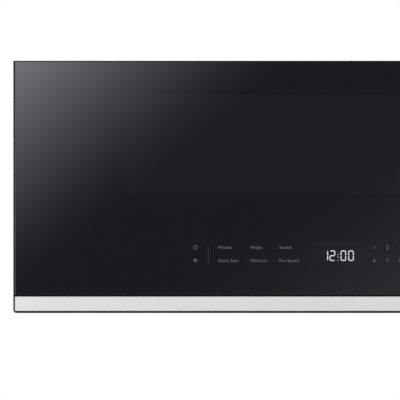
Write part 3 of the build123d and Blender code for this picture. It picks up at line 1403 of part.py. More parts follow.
with BuildPart() as inner_window:
    block((-window_half - inner_window_lap, window_half + inner_window_lap),
          (door_rear_y, door_rear_y + inner_window_thickness),
          (window_z[0] - inner_window_lap, window_z[1] + inner_window_lap))
    fillet(inner_window.edges().filter_by(Axis.Y), 4)
save(inner_window, "inner_window")

with BuildPart() as choke_cover:
    with BuildSketch(front_plane(door_rear_y)):
        with Locations((0, sum(choke_z) / 2)):
            RectangleRounded(2 * (choke_outer_x + choke_cover_outer_lip),
                             choke_z[1] - choke_z[0] + 2 * choke_cover_outer_lip, 5)
            RectangleRounded(2 * (choke_inner_x - choke_cover_inner_lip),
                             plate_z[1] - plate_z[0] - 2 * choke_cover_inner_lip, 5, mode=Mode.SUBTRACT)
    extrude(amount=-choke_cover_thickness)
save(choke_cover, "choke_cover")

display_x = around(display_center_x, display_width)
display_z = (display_bottom, display_bottom + display_height)
with BuildPart() as touch_board:
    block(around(0, touch_board_width), board_y, board_z)
    block((display_x[0] - fit, display_x[1] + fit), board_y, (display_z[0] - fit, display_z[1] + fit),
          Mode.SUBTRACT)
    # Control chip, connector and sounder on the back.
    block(around(display_center_x + 70, 16), (board_y[1], board_y[1] + 2), around(sum(board_z) / 2, 16))
    block(around(display_center_x + 120, 30), (board_y[1], board_y[1] + 8), around(sum(board_z) / 2, 8))
    with BuildSketch(front_plane(board_y[1])):
        with Locations((display_center_x - 80, sum(board_z) / 2)):
            Circle(7)
    extrude(amount=-6)
save(touch_board, "touch_board")

with BuildPart() as display_module:
    block(display_x, (glass_back_y, glass_back_y + display_depth), display_z)
    display_back_y = glass_back_y + display_depth
    block((display_x[0] + 4, display_x[1] - 4), (display_back_y, display_back_y + 1.5),
          (display_z[0] + 3, display_z[1] - 3))
save(display_module, "display_module")

# ============================================================================ HINGES
with BuildPart() as hinge_bushes:
    for side, (edge_z, notch_z) in hinge_faces.items():
        with BuildSketch(level(notch_z)):
            with Locations((hinge_x, hinge_y)):
                Circle(bush_flange_radius)
        extrude(amount=side * bush_flange)
        with BuildSketch(level(notch_z)):
            with Locations((hinge_x, hinge_y)):
                Circle(bush_radius)
        extrude(amount=-side * hinge_boss_height)
        with BuildSketch(level(notch_z + side * bush_flange)):
            with Locations((hinge_x, hinge_y)):
                Circle(hinge_pin_radius + pin_fit)
        extrude(amount=-side * (hinge_boss_height + bush_flange), mode=Mode.SUBTRACT)
save(hinge_bushes, "hinge_bushes")

hinge_parts = {"hinge_upper": (upper_arm_z, upper_tab_z, -1), "hinge_lower": (lower_arm_z, lower_tab_z, 1)}
for name, (arm_z, tab_z, pin_way) in hinge_parts.items():
    with BuildPart() as hinge:
        # Tab behind the front plate, arm through it, rounded end and pin.
        block(hinge_tab_x, (oven_front, oven_front + hinge_tab_thickness), tab_z)
        block(around(hinge_x, 2 * hinge_arm_half_width), (hinge_y, oven_front + hinge_tab_thickness),
              (arm_z, arm_z + hinge_arm_thickness))
        with BuildSketch(level(arm_z)):
            with Locations((hinge_x, hinge_y)):
                Circle(hinge_arm_half_width)
        extrude(amount=hinge_arm_thickness)
        pin_base = arm_z if pin_way < 0 else arm_z + hinge_arm_thickness
        with BuildSketch(level(pin_base)):
            with Locations((hinge_x, hinge_y)):
                Circle(hinge_pin_radius)
        extrude(amount=pin_way * hinge_pin_length)
        with BuildSketch(front_plane(oven_front)):
            with Locations(*hinge_screws):
                Circle(screw_shank_radius)
        extrude(amount=-hinge_tab_thickness, mode=Mode.SUBTRACT)
    save(hinge, name)

# ============================================================================ LATCH
hook_end_y = latch_bar_y[1] + hook_reach
with BuildPart() as latch_hooks:
    block(around(latch_x, latch_width), latch_bar_y, latch_bar_z)
    for z in hook_heights:
        # Neck, and a nose whose tip slopes so that it rides over the edge of its slot.
        with BuildSketch(side_plane(latch_x - latch_width / 2)):
            with BuildLine():
                Polyline((latch_bar_y[1], z + hook_neck / 2), (hook_end_y - 4, z + hook_neck / 2),
                         (hook_end_y, z + hook_neck / 2 - 4), (hook_end_y, z - hook_neck / 2),
                         (hook_end_y - 4, z - hook_neck / 2 - hook_nose_drop),
                         (hook_end_y - hook_nose_length, z - hook_neck / 2 - hook_nose_drop),
                         (hook_end_y - hook_nose_length, z - hook_neck / 2),
                         (latch_bar_y[1], z - hook_neck / 2), close=True)
            make_face()
        extrude(amount=latch_width)
save(latch_hooks, "latch_hooks")

coil_low = latch_bar_z[1] + spring_wire / 2 + pin_fit
coil_high = shelf_z - spring_wire / 2 - pin_fit
with BuildPart() as latch_spring:
    with BuildLine() as coil:
        Helix((coil_high - coil_low) / spring_turns, coil_high - coil_low, spring_radius,
              center=(latch_x, sum(latch_bar_y) / 2, coil_low))
    with BuildSketch(Plane(origin=coil.line @ 0, z_dir=coil.line % 0)):
        Circle(spring_wire / 2)
    sweep(path=coil.line)
save(latch_spring, "latch_spring")

# Latch board: carries the three interlock switches beside the slots.
switch_face_y = hook_end_y + fit + plunger_length - 2
switch_x = (latch_x - switch_pitch / 2, latch_x + switch_pitch / 2)
switch_spots = [(switch_x[0], hook_heights[1]), (switch_x[1], hook_heights[1]),
                (switch_x[1], hook_heights[0])]
board_near_x = switch_x[1] + switch_width / 2
latch_board_z = (hook_heights[0] - latch_board_margin, hook_heights[1] + latch_board_margin)
switch_posts = [(switch_face_y + switch_depth / 2 + step, 3 * step) for step in (-3, 3)]
with BuildPart() as latch_board:
    block((board_near_x, board_near_x + latch_board_thickness),
          (oven_front, switch_face_y + switch_depth + 4),
          latch_board_z)
    block((board_near_x, board_near_x + latch_board_flange), (oven_front, oven_front + latch_board_thickness),
          latch_board_z)
    # Posts that go through the switch bodies.
    for x, z in switch_spots[1:]:
        with BuildSketch(side_plane(board_near_x)):
            with Locations(*[(y, z + rise) for y, rise in switch_posts]):
                Circle(switch_post_radius)
        extrude(amount=-(switch_pitch + switch_width if z == hook_heights[1] else switch_width))
save(latch_board, "latch_board")

with BuildPart() as interlock_switches:
    for x, z in switch_spots:
        block(around(x, switch_width), (switch_face_y, switch_face_y + switch_depth),
              around(z, switch_height))
        for step in (-8, 0, 8):
            block(around(x, 5), (switch_face_y + switch_depth, switch_face_y + switch_depth + 7),
                  around(z + step, 0.8))
        with BuildSketch(side_plane(x - switch_width / 2)):
            with Locations(*[(y, z + rise) for y, rise in switch_posts]):
                Circle(switch_post_radius)
        extrude(amount=switch_width, mode=Mode.SUBTRACT)
        with BuildSketch(front_plane(switch_face_y)):
            with Locations((x, z)):
                Circle(plunger_radius + pin_fit)
        extrude(amount=-(2 + plunger_travel + fit), mode=Mode.SUBTRACT)
save(interlock_switches, "interlock_switches")

for name, (x, z) in zip(("plunger_upper_left", "plunger_upper_right", "plunger_lower"), switch_spots):
    with BuildPart() as plunger:
        with BuildSketch(front_plane(hook_end_y + fit)):
            with Locations((x, z)):
                Circle(plunger_radius)
        extrude(amount=-plunger_length)
        fillet(plunger.faces().sort_by(Axis.Y)[0].edges(), 0.6)
    save(plunger, name)

# ============================================================================ SCREWS
with BuildPart() as case_screws:
    # Two rows through the wrapper's sides into the back panel's folded edges.
    for side in (-1, 1):
        for reach, radius in ((screw_head_height, screw_head_radius), (-screw_length, screw_shank_radius)):
            with BuildSketch(side_plane(side * case_half)):
                with Locations(*side_screws):
                    Circle(radius)
            extrude(amount=side * reach)
    # Four through the front plate into the hinge tabs.
    for reach, radius in ((screw_head_height, screw_head_radius), (-screw_length, screw_shank_radius)):
        with BuildSketch(front_plane(case_y)):
            with Locations(*hinge_screws):
                Circle(radius)
        extrude(amount=reach)
save(case_screws, "case_screws")
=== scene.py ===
import json
import logging
import math
from collections.abc import Iterable
from dataclasses import dataclass
from enum import Enum

import bmesh
import bpy
from mathutils import Matrix, Vector

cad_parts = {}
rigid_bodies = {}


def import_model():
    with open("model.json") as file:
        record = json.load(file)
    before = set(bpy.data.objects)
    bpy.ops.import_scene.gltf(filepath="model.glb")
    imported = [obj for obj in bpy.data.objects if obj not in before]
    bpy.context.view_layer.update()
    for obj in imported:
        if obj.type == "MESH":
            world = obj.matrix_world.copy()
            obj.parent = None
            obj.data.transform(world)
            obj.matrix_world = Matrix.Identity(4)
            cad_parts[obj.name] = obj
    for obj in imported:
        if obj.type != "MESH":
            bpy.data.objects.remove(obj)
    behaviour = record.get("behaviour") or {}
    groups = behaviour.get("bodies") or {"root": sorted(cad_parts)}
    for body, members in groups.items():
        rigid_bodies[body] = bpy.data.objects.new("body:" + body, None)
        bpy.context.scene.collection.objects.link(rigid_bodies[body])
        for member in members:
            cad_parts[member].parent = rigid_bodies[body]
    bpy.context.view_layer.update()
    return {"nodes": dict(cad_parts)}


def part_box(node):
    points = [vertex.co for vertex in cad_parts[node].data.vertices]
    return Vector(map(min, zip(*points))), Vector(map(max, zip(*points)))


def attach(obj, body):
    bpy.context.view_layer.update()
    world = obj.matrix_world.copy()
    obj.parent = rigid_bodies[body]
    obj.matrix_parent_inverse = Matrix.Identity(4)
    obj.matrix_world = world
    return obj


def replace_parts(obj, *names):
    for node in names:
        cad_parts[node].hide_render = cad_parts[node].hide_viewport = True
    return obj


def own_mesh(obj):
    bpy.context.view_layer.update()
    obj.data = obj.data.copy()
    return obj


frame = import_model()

LOG = logging.getLogger("microwave")
MM = 0.001

Colour = tuple[float, float, float]
Point = tuple[float, float]
Spot = tuple[float, float, float]
Limits = dict[str, Point]
Socket = bpy.types.NodeSocket
Value = float | Colour | Socket

WHITE: Colour = (1.0, 1.0, 1.0)
SOLDER_MASK: Colour = (0.010, 0.085, 0.030)
DEEP_BLACK: Colour = (0.020, 0.020, 0.022)
CONNECTOR_WHITE: Colour = (0.70, 0.69, 0.64)
NYLON_WHITE: Colour = (0.75, 0.74, 0.70)
FULL_TURN = math.tau
SEGMENTS = {"0": "abcdef", "1": "bc", "2": "abged"}  # lit bars of the clock's figures


# ============================================================================ NODE TREES
class Streak(Enum):
    """How far a grain is drawn out, as cycles per metre along X, Y and Z."""

    ALONG_X = (9.0, 900.0, 900.0)
    ALONG_Y = (900.0, 9.0, 900.0)
    ALONG_Z = (900.0, 900.0, 9.0)


class Nodes:
    """A node tree, with short calls that add nodes to it."""

    def __init__(self, tree: bpy.types.NodeTree) -> None:
        """Takes the tree to work on.

        Args:
            tree: The tree.
        """
        self.tree = tree

    def feed(self, socket: Socket, value: Value) -> None:
        """Links a socket to another one, or sets its own value."""
        if isinstance(value, Socket):
            self.tree.links.new(value, socket)
        elif socket.type == "RGBA":
            socket.default_value = (*value, 1.0)
        else:
            socket.default_value = value

    def node(self, kind: str, inputs: dict | None = None, **settings) -> bpy.types.Node:
        """Adds a node.

        Args:
            kind: Blender's name of the node's type.
            inputs: Value or source of each input, by its name or number.
            settings: The node's own properties.

        Returns:
            The new node.
        """
        made = self.tree.nodes.new(kind)
        for key, value in settings.items():
            setattr(made, key, value)
        for key, value in (inputs or {}).items():
            self.feed(made.inputs[key], value)
        return made

    def sum_of(self, operation: str, a: Value, b: Value = 0.0, c: Value = 0.0) -> Socket:
        """One step of arithmetic on up to three numbers."""
        return self.node("ShaderNodeMath", {0: a, 1: b, 2: c}, operation=operation).outputs[0]


@dataclass(frozen=True)
class Zone:
    """A box of a piece that has its own colour, gloss and metal."""

    limits: Limits
    colour: Colour
    roughness: float = 0.5
    metal: float = 0.0
    specular: float = 0.45


class Shade(Nodes):
    """The nodes of one material, with the patterns that the finishes share."""

    SOCKETS = {
        "base": "Base Color", "metal": "Metallic", "rough": "Roughness", "ior": "IOR", "normal": "Normal",
        "clear": "Transmission Weight", "coat": "Coat Weight", "coat_rough": "Coat Roughness",
        "glow": "Emission Color", "glow_strength": "Emission Strength", "specular": "Specular IOR Level",
    }

    def __init__(self, name: str) -> None:
        """Starts a material that has one Principled shader.

        Args:
            name: The material's name.
        """
        self.material = bpy.data.materials.new(name)
        self.material.use_nodes = True
        super().__init__(self.material.node_tree)
        self.tree.nodes.clear()
        self.shader = self.node("ShaderNodeBsdfPrincipled")
        self.output = self.node("ShaderNodeOutputMaterial", {"Surface": self.shader.outputs[0]})
        self.place = self.node("ShaderNodeTexCoord").outputs["Object"]

    def set(self, **values: Value) -> None:
        """Sets or links inputs of the Principled shader, by their short names in SOCKETS."""
        for key, value in values.items():
            self.feed(self.shader.inputs[self.SOCKETS[key]], value)

    def noise(self, cycles: float | Streak, detail: float = 2.0) -> Socket:
        """Soft noise between 0 and 1.

        Args:
            cycles: Bumps per metre, or the streak that draws the noise out along one axis.
            detail: Finer layers on top.
        """
        source, scale = self.place, cycles
        if isinstance(cycles, Streak):
            source = self.node("ShaderNodeMapping", {"Vector": self.place, "Scale": cycles.value}).outputs[0]
            scale = 1.0
        inputs = {"Vector": source, "Scale": scale, "Detail": detail}
        return self.node("ShaderNodeTexNoise", inputs).outputs[0]

    def cells(self, cycles: float, output: str = "Distance", feature: str = "F1") -> Socket:
        """Cell pattern, as the distance to each cell's middle, its edge or its own random colour."""
        inputs = {"Vector": self.place, "Scale": cycles}
        return self.node("ShaderNodeTexVoronoi", inputs, feature=feature).outputs[output]

    def flakes(self, cycles: float) -> Socket:
        """Cell pattern in which each cell is one random number."""
        return self.sum_of("MULTIPLY", self.cells(cycles, "Color"), 1.0)

    def span(self, value: Value, low: float, high: float, start: float = 0.0, end: float = 1.0) -> Socket:
        """Maps the range from start to end onto the range from low to high, and holds it there."""
        inputs = {"Value": value, "From Min": start, "From Max": end, "To Min": low, "To Max": high}
        return self.node("ShaderNodeMapRange", inputs).outputs[0]

    def around(self, value: Value, middle: float, below: float, above: float) -> Socket:
        """Maps 0 to 1 onto the range from a little below a number to a little above it."""
        return self.span(value, middle - below, middle + above)

    def mix(self, factor: Value, a: Value, b: Value) -> Value:
        """Goes from number a to number b as factor goes from 0 to 1. Equal numbers need no node."""
        if a == b:
            return a
        return self.node("ShaderNodeMix", {0: factor, 2: a, 3: b}, data_type="FLOAT").outputs[0]

    def blend(self, factor: Value, a: Value, b: Value) -> Socket:
        """Goes from colour a to colour b as factor goes from 0 to 1."""
        return self.node("ShaderNodeMix", {0: factor, 6: a, 7: b}, data_type="RGBA").outputs[2]

    def tones(self, factor: Value, colour: Colour, spread: float) -> Socket:
        """The colour, a little darker at 0 and lighter at 1."""
        return self.blend(factor, times(colour, 1 - spread), times(colour, 1 + spread))

    def bump(self, height: Value, strength: float, depth: float) -> None:
        """Roughens the surface by a height map.

        Args:
            height: The map, between 0 and 1.
            strength: Share of the effect.
            depth: Height of the relief, in metres.
        """
        made = self.node("ShaderNodeBump", {"Strength": strength, "Distance": depth, "Height": height})
        self.set(normal=made.outputs[0])

    def axis(self, name: str) -> Socket:
        """One of the object's coordinates: X, Y or Z."""
        return self.node("ShaderNodeSeparateXYZ", {0: self.place}).outputs[name]

    def inside(self, limits: Limits, soft: float = 0.2 * MM) -> Value:
        """A mask that is 1 inside a box.

        Args:
            limits: The low and high end along each axis that limits the box.
            soft: Width over which the mask fades at its edges.
        """
        mask: Value = 1.0
        for name, (low, high) in limits.items():
            off = self.sum_of("ABSOLUTE", self.sum_of("SUBTRACT", self.axis(name), (low + high) / 2))
            side = self.span(off, 1.0, 0.0, (high - low) / 2 - soft / 2, (high - low) / 2 + soft / 2)
            mask = self.sum_of("MULTIPLY", mask, side)
        return mask

    def with_zones(self, zones: tuple[Zone, ...], **own: Value) -> dict[str, Value]:
        """Lays zones over a finish's own values.

        Args:
            zones: The zones.
            own: The finish's values, by the names that they have in a zone.

        Returns:
            The values, each with the zones laid over it.
        """
        for zone in zones:
            mask = self.inside(zone.limits)
            for name, value in own.items():
                lay = self.blend if name == "colour" else self.mix
                own[name] = lay(mask, value, getattr(zone, name))
        return own


def times(colour: Colour, factor: float) -> Colour:
    """The colour, made darker or lighter by a factor."""
    red, green, blue = colour
    return red * factor, green * factor, blue * factor


# ============================================================================ FINISHES
@dataclass(frozen=True)
class Finish:
    """A surface finish of the oven. Each kind adds its own pattern in dress."""

    name: str
    colour: Colour
    roughness: float = 0.5

    def material(self) -> bpy.types.Material:
        """The finish's material, made on first use."""
        made = bpy.data.materials.get(self.name)
        if made is None:
            shade = Shade(self.name)
            self.dress(shade)
            made = shade.material
        return made

    def dress(self, shade: Shade) -> None:
        """Adds the finish's nodes to a new material."""
        raise NotImplementedError(self.name)


@dataclass(frozen=True)
class PowderCoat(Finish):
    """Baked powder paint: fine orange peel and slow changes of tone."""

    relief: float = 0.16

    def dress(self, shade: Shade) -> None:
        """Adds the finish's nodes to a new material."""
        broad = shade.noise(7.0, 4.0)
        shade.set(base=shade.tones(broad, self.colour, 0.12), specular=0.28,
                  rough=shade.around(broad, self.roughness, 0.05, 0.06))
        shade.bump(shade.noise(1100.0), self.relief, 0.2 * MM)


@dataclass(frozen=True)
class Moulding(Finish):
    """Moulded plastic with a spark-eroded grain and faint flow marks."""

    grain: float = 1600.0
    relief: float = 0.12
    specular: float = 0.45

    def dress(self, shade: Shade) -> None:
        """Adds the finish's nodes to a new material."""
        grain = shade.noise(self.grain, 3.0)
        shade.set(base=shade.tones(shade.noise(22.0, 3.0), self.colour, 0.07), specular=self.specular,
                  rough=shade.around(grain, self.roughness, 0.06, 0.06))
        shade.bump(grain, self.relief, 0.1 * MM)


@dataclass(frozen=True)
class BrushedMetal(Finish):
    """Satin metal with fine drawn-out lines."""

    metal: float = 1.0
    streak: Streak = Streak.ALONG_X
    relief: float = 0.05

    def dress(self, shade: Shade) -> None:
        """Adds the finish's nodes to a new material."""
        lines = shade.noise(self.streak, 4.0)
        broad = shade.sum_of("MULTIPLY", shade.noise(14.0), 0.3)
        both = shade.sum_of("MULTIPLY_ADD", lines, 0.7, broad)
        shade.set(base=shade.tones(both, self.colour, 0.06), metal=self.metal,
                  rough=shade.around(lines, self.roughness, 0.07, 0.07))
        shade.bump(lines, self.relief, 0.05 * MM)


@dataclass(frozen=True)
class ZincSheet(Finish):
    """Galvanised steel: flat crystals of slightly different greys."""

    spangle: float = 70.0

    def dress(self, shade: Shade) -> None:
        """Adds the finish's nodes to a new material."""
        crystal = shade.flakes(self.spangle)
        shade.set(base=shade.tones(crystal, self.colour, 0.09), metal=0.85,
                  rough=shade.around(crystal, self.roughness, 0.06, 0.06))
        shade.bump(shade.noise(Streak.ALONG_X, 3.0), 0.06, 0.05 * MM)


@dataclass(frozen=True)
class Enamel(Finish):
    """Fired enamel: glossy, with tiny specks of a second colour."""

    speck: Colour = (0.2, 0.2, 0.2)
    speck_size: float = 0.16

    def dress(self, shade: Shade) -> None:
        """Adds the finish's nodes to a new material."""
        specks = shade.span(shade.cells(480.0), 1.0, 0.0, self.speck_size, self.speck_size + 0.06)
        wave = shade.noise(160.0, 1.0)
        base = shade.tones(shade.noise(9.0, 3.0), self.colour, 0.05)
        shade.set(base=shade.blend(specks, base, self.speck), coat=0.35, coat_rough=0.12,
                  rough=shade.around(wave, self.roughness, 0.04, 0.04))
        shade.bump(wave, 0.08, 0.3 * MM)


@dataclass(frozen=True)
class ClearSheet(Finish):
    """Clear or frosted glass or plastic."""

    clear: float = 1.0
    ior: float = 1.5
    ripple: float = 0.03

    def dress(self, shade: Shade) -> None:
        """Adds the finish's nodes to a new material."""
        wave = shade.noise(120.0)
        shade.set(base=shade.tones(shade.noise(30.0), self.colour, 0.02), clear=self.clear, ior=self.ior,
                  rough=shade.around(wave, self.roughness, min(self.roughness, 0.02), 0.03))
        shade.bump(wave, self.ripple, 0.4 * MM)


@dataclass(frozen=True)
class Rubber(Finish):
    """Black rubber with a dry bloom."""

    def dress(self, shade: Shade) -> None:
        """Adds the finish's nodes to a new material."""
        bloom = shade.noise(260.0, 4.0)
        shade.set(base=shade.tones(bloom, self.colour, 0.3), specular=0.3,
                  rough=shade.around(bloom, self.roughness, 0.1, 0.08))
        shade.bump(bloom, 0.2, 0.2 * MM)


@dataclass(frozen=True)
class Mica(Finish):
    """Pressed mica: overlapping flakes with a silky glint."""

    def dress(self, shade: Shade) -> None:
        """Adds the finish's nodes to a new material."""
        flake = shade.flakes(210.0)
        shade.set(base=shade.tones(flake, self.colour, 0.18), coat=0.3, coat_rough=0.2,
                  rough=shade.around(flake, self.roughness, 0.15, 0.1))
        shade.bump(flake, 0.25, 0.2 * MM)


@dataclass(frozen=True)
class CharcoalPad(Finish):
    """Bonded charcoal grains."""

    def dress(self, shade: Shade) -> None:
        """Adds the finish's nodes to a new material."""
        grain = shade.cells(520.0)
        shade.set(base=shade.tones(grain, self.colour, 0.5), rough=self.roughness, specular=0.3)
        shade.bump(grain, 0.7, 1.2 * MM)


@dataclass(frozen=True)
class KnittedPad(Finish):
    """Layers of expanded aluminium foil in a grease filter."""

    pitch: float = 380.0

    def dress(self, shade: Shade) -> None:
        """Adds the finish's nodes to a new material."""
        # The open parts between the strands are painted dark: painted shade in the holes of the pad.
        strands = shade.cells(self.pitch, "Distance", "DISTANCE_TO_EDGE")
        open_part = shade.span(strands, 0.0, 1.0, 0.03, 0.16)
        shade.set(base=shade.blend(open_part, self.colour, times(self.colour, 0.18)), metal=0.8,
                  rough=shade.around(open_part, self.roughness, 0.0, 0.25))
        shade.bump(shade.sum_of("SUBTRACT", 1.0, open_part), 0.8, 0.8 * MM)


@dataclass(frozen=True)
class Ink(Finish):
    """Printed ink under the glass, slightly uneven. Part of its brightness is emitted, to read evenly: a
    painted glow on the printed marks, and the lit display's own light on the clock.
    """

    glow: float = 0.0

    def dress(self, shade: Shade) -> None:
        """Adds the finish's nodes to a new material."""
        base = shade.tones(shade.noise(1400.0), self.colour, 0.08)
        shade.set(base=base, glow=base, glow_strength=self.glow, rough=self.roughness, specular=0.2)


@dataclass(frozen=True)
class Zoned(Finish):
    """One solid that stands for several materials, each in its own box."""

    zones: tuple[Zone, ...] = ()
    metal: float = 0.0
    specular: float = 0.45
    grain: float | Streak = 700.0
    relief: float = 0.1
    spread: float = 0.1

    def dress(self, shade: Shade) -> None:
        """Adds the finish's nodes to a new material."""
        grain = shade.noise(self.grain, 3.0)
        own = shade.with_zones(self.zones, colour=self.colour, roughness=self.roughness, metal=self.metal,
                               specular=self.specular)
        darker = shade.around(grain, 1.0, self.spread, self.spread)
        base = shade.node("ShaderNodeVectorMath", {0: own["colour"], 1: darker}, operation="MULTIPLY")
        shade.set(base=base.outputs[0], rough=own["roughness"], metal=own["metal"], specular=own["specular"])
        shade.bump(grain, self.relief, 0.2 * MM)


@dataclass(frozen=True, kw_only=True)
class PrintedGlass(Finish):
    """The door's glass, printed black behind: window, the dark line round it, and the display's field."""

    window: Limits
    window_colour: Colour
    line_colour: Colour
    line_width: float = 4.5 * MM
    display: Limits
    display_colour: Colour
    face: Limits
    ground_and_painted_highlight_colour: Colour
    ground_roughness: float = 0.45
    screen_pitch: float = 5.0 * MM

    def dress(self, shade: Shade) -> None:
        """Adds the finish's nodes to a new material."""
        line = {name: (low - self.line_width, high + self.line_width)
                for name, (low, high) in self.window.items()}
        # The screen behind the window just shows as a veil of dots.
        holes = shade.span(shade.cells(1 / self.screen_pitch), 0.0, 0.08, 0.2, 0.5)
        window = shade.blend(holes, self.window_colour, times(self.window_colour, 1.18))
        base = shade.blend(shade.inside(line, 1.2 * MM), self.colour, self.line_colour)
        base = shade.blend(shade.inside(self.window, 0.6 * MM), base, window)
        base = shade.blend(shade.inside(self.display, 1.6 * MM), base, self.display_colour)
        wipe = shade.noise(16.0, 4.0)
        polished = shade.span(wipe, self.roughness, self.roughness + 0.025, 0.35, 0.75)
        # The bevels beside the face are ground, and so duller than it. Their pale colour is partly the ground
        # glass's own tone and partly a painted highlight, in place of the light that the edge catches.
        face = shade.inside(self.face, 0.05 * MM)
        shade.set(base=shade.blend(face, self.ground_and_painted_highlight_colour, base), ior=1.5,
                  rough=shade.mix(face, self.ground_roughness, polished))


@dataclass(frozen=True)
class CircuitBoard(Finish):
    """Solder mask over straight copper tracks, with dark and bright components in boxes."""

    zones: tuple[Zone, ...] = ()
    across: tuple[str, str] = ("X", "Z")
    pitch: float = 2.1 * MM

    def dress(self, shade: Shade) -> None:
        """Adds the finish's nodes to a new material."""
        lines = []
        for name in self.across:
            phase = shade.sum_of("FRACT", shade.sum_of("DIVIDE", shade.axis(name), self.pitch))
            lines.append(shade.span(phase, 1.0, 0.0, 0.42, 0.48))
        track = shade.mix(shade.sum_of("LESS_THAN", shade.flakes(85.0), 0.5), *lines)
        copper = shade.blend(shade.sum_of("MULTIPLY", track, 0.6), self.colour, times(self.colour, 2.1))
        own = shade.with_zones(self.zones, colour=copper, roughness=self.roughness)
        shade.set(base=own["colour"], rough=own["roughness"])
        shade.bump(track, 0.25, 0.05 * MM)


# ============================================================================ PIECES
def dress(finish: Finish, *nodes: str) -> None:
    """Gives CAD nodes a finish.

    Args:
        finish: The finish.
        nodes: Names of the nodes.
    """
    for name in nodes:
        for slot in frame["nodes"][name].material_slots:
            slot.material = finish.material()
        LOG.info("dressed %s with %s", name, finish.name)


def put(name: str, data: bpy.types.ID) -> bpy.types.Object:
    """Puts a mesh, lettering, lamp or camera in the scene as an object."""
    made = bpy.data.objects.new(name, data)
    bpy.context.scene.collection.objects.link(made)
    return made


def add_piece(name: str, mesh: bpy.types.Mesh, body: str,
              finish: Finish | None = None) -> bpy.types.Object:
    """Puts a finished mesh in the scene as a piece that rides on a body.

    Args:
        name: The piece's name.
        mesh: Its mesh, already in place.
        body: The body that carries it.
        finish: Its finish, where the mesh has none yet.

    Returns:
        The piece.
    """
    if finish is not None:
        mesh.materials.clear()
        mesh.materials.append(finish.material())
    piece = put(name, mesh)
    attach(piece, body)
    LOG.info("made %s: %d faces on %s", name, len(mesh.polygons), body)
    return piece


def written(form: bmesh.types.BMesh, name: str) -> bpy.types.Mesh:
    """Writes a built form to a new mesh, as it is."""
    mesh = bpy.data.meshes.new(name)
    form.to_mesh(mesh)
    form.free()
    return mesh


def mesh_from(form: bmesh.types.BMesh, name: str) -> bpy.types.Mesh:
    """Merges a built form's doubles, turns its faces outward and writes it to a new mesh."""
    bmesh.ops.remove_doubles(form, verts=form.verts, dist=1e-7)
    bmesh.ops.recalc_face_normals(form, faces=form.faces)
    return written(form, name)


def settled(holder: bpy.types.Object, *helpers: bpy.types.Object) -> bpy.types.Mesh:
    """Turns an object with modifiers or lettering into a plain mesh.

    Args:
        holder: The object, which is removed.
        helpers: Other objects that are removed with it.
    """
    graph = bpy.context.evaluated_depsgraph_get()
    mesh = bpy.data.meshes.new_from_object(holder.evaluated_get(graph))
    for thing in (holder, *helpers):
        bpy.data.objects.remove(thing)
    return mesh


def box_of(node: str) -> tuple[Vector, Vector]:
    """Lowest and highest corner of a CAD node."""
    low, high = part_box(node)
    return Vector(low), Vector(high)


def slab(node: str, axis: str, depth: float) -> Limits:
    """The layer of a CAD node at its low end, or at its high end where the depth is negative.

    Args:
        node: The node.
        axis: The axis that the depth is measured along: X, Y or Z.
        depth: The layer's depth.

    Returns:
        The layer's limits, a little past the node's own end.
    """
    low, high = (corner["XYZ".index(axis)] for corner in box_of(node))
    return {axis: (low - MM, low + depth) if depth > 0 else (high + depth, high + MM)}


def on_circle(radius: float, degrees: float) -> Point:
    """The point of a circle at an angle from +X towards the second axis."""
    angle = math.radians(degrees)
    return radius * math.cos(angle), radius * math.sin(angle)


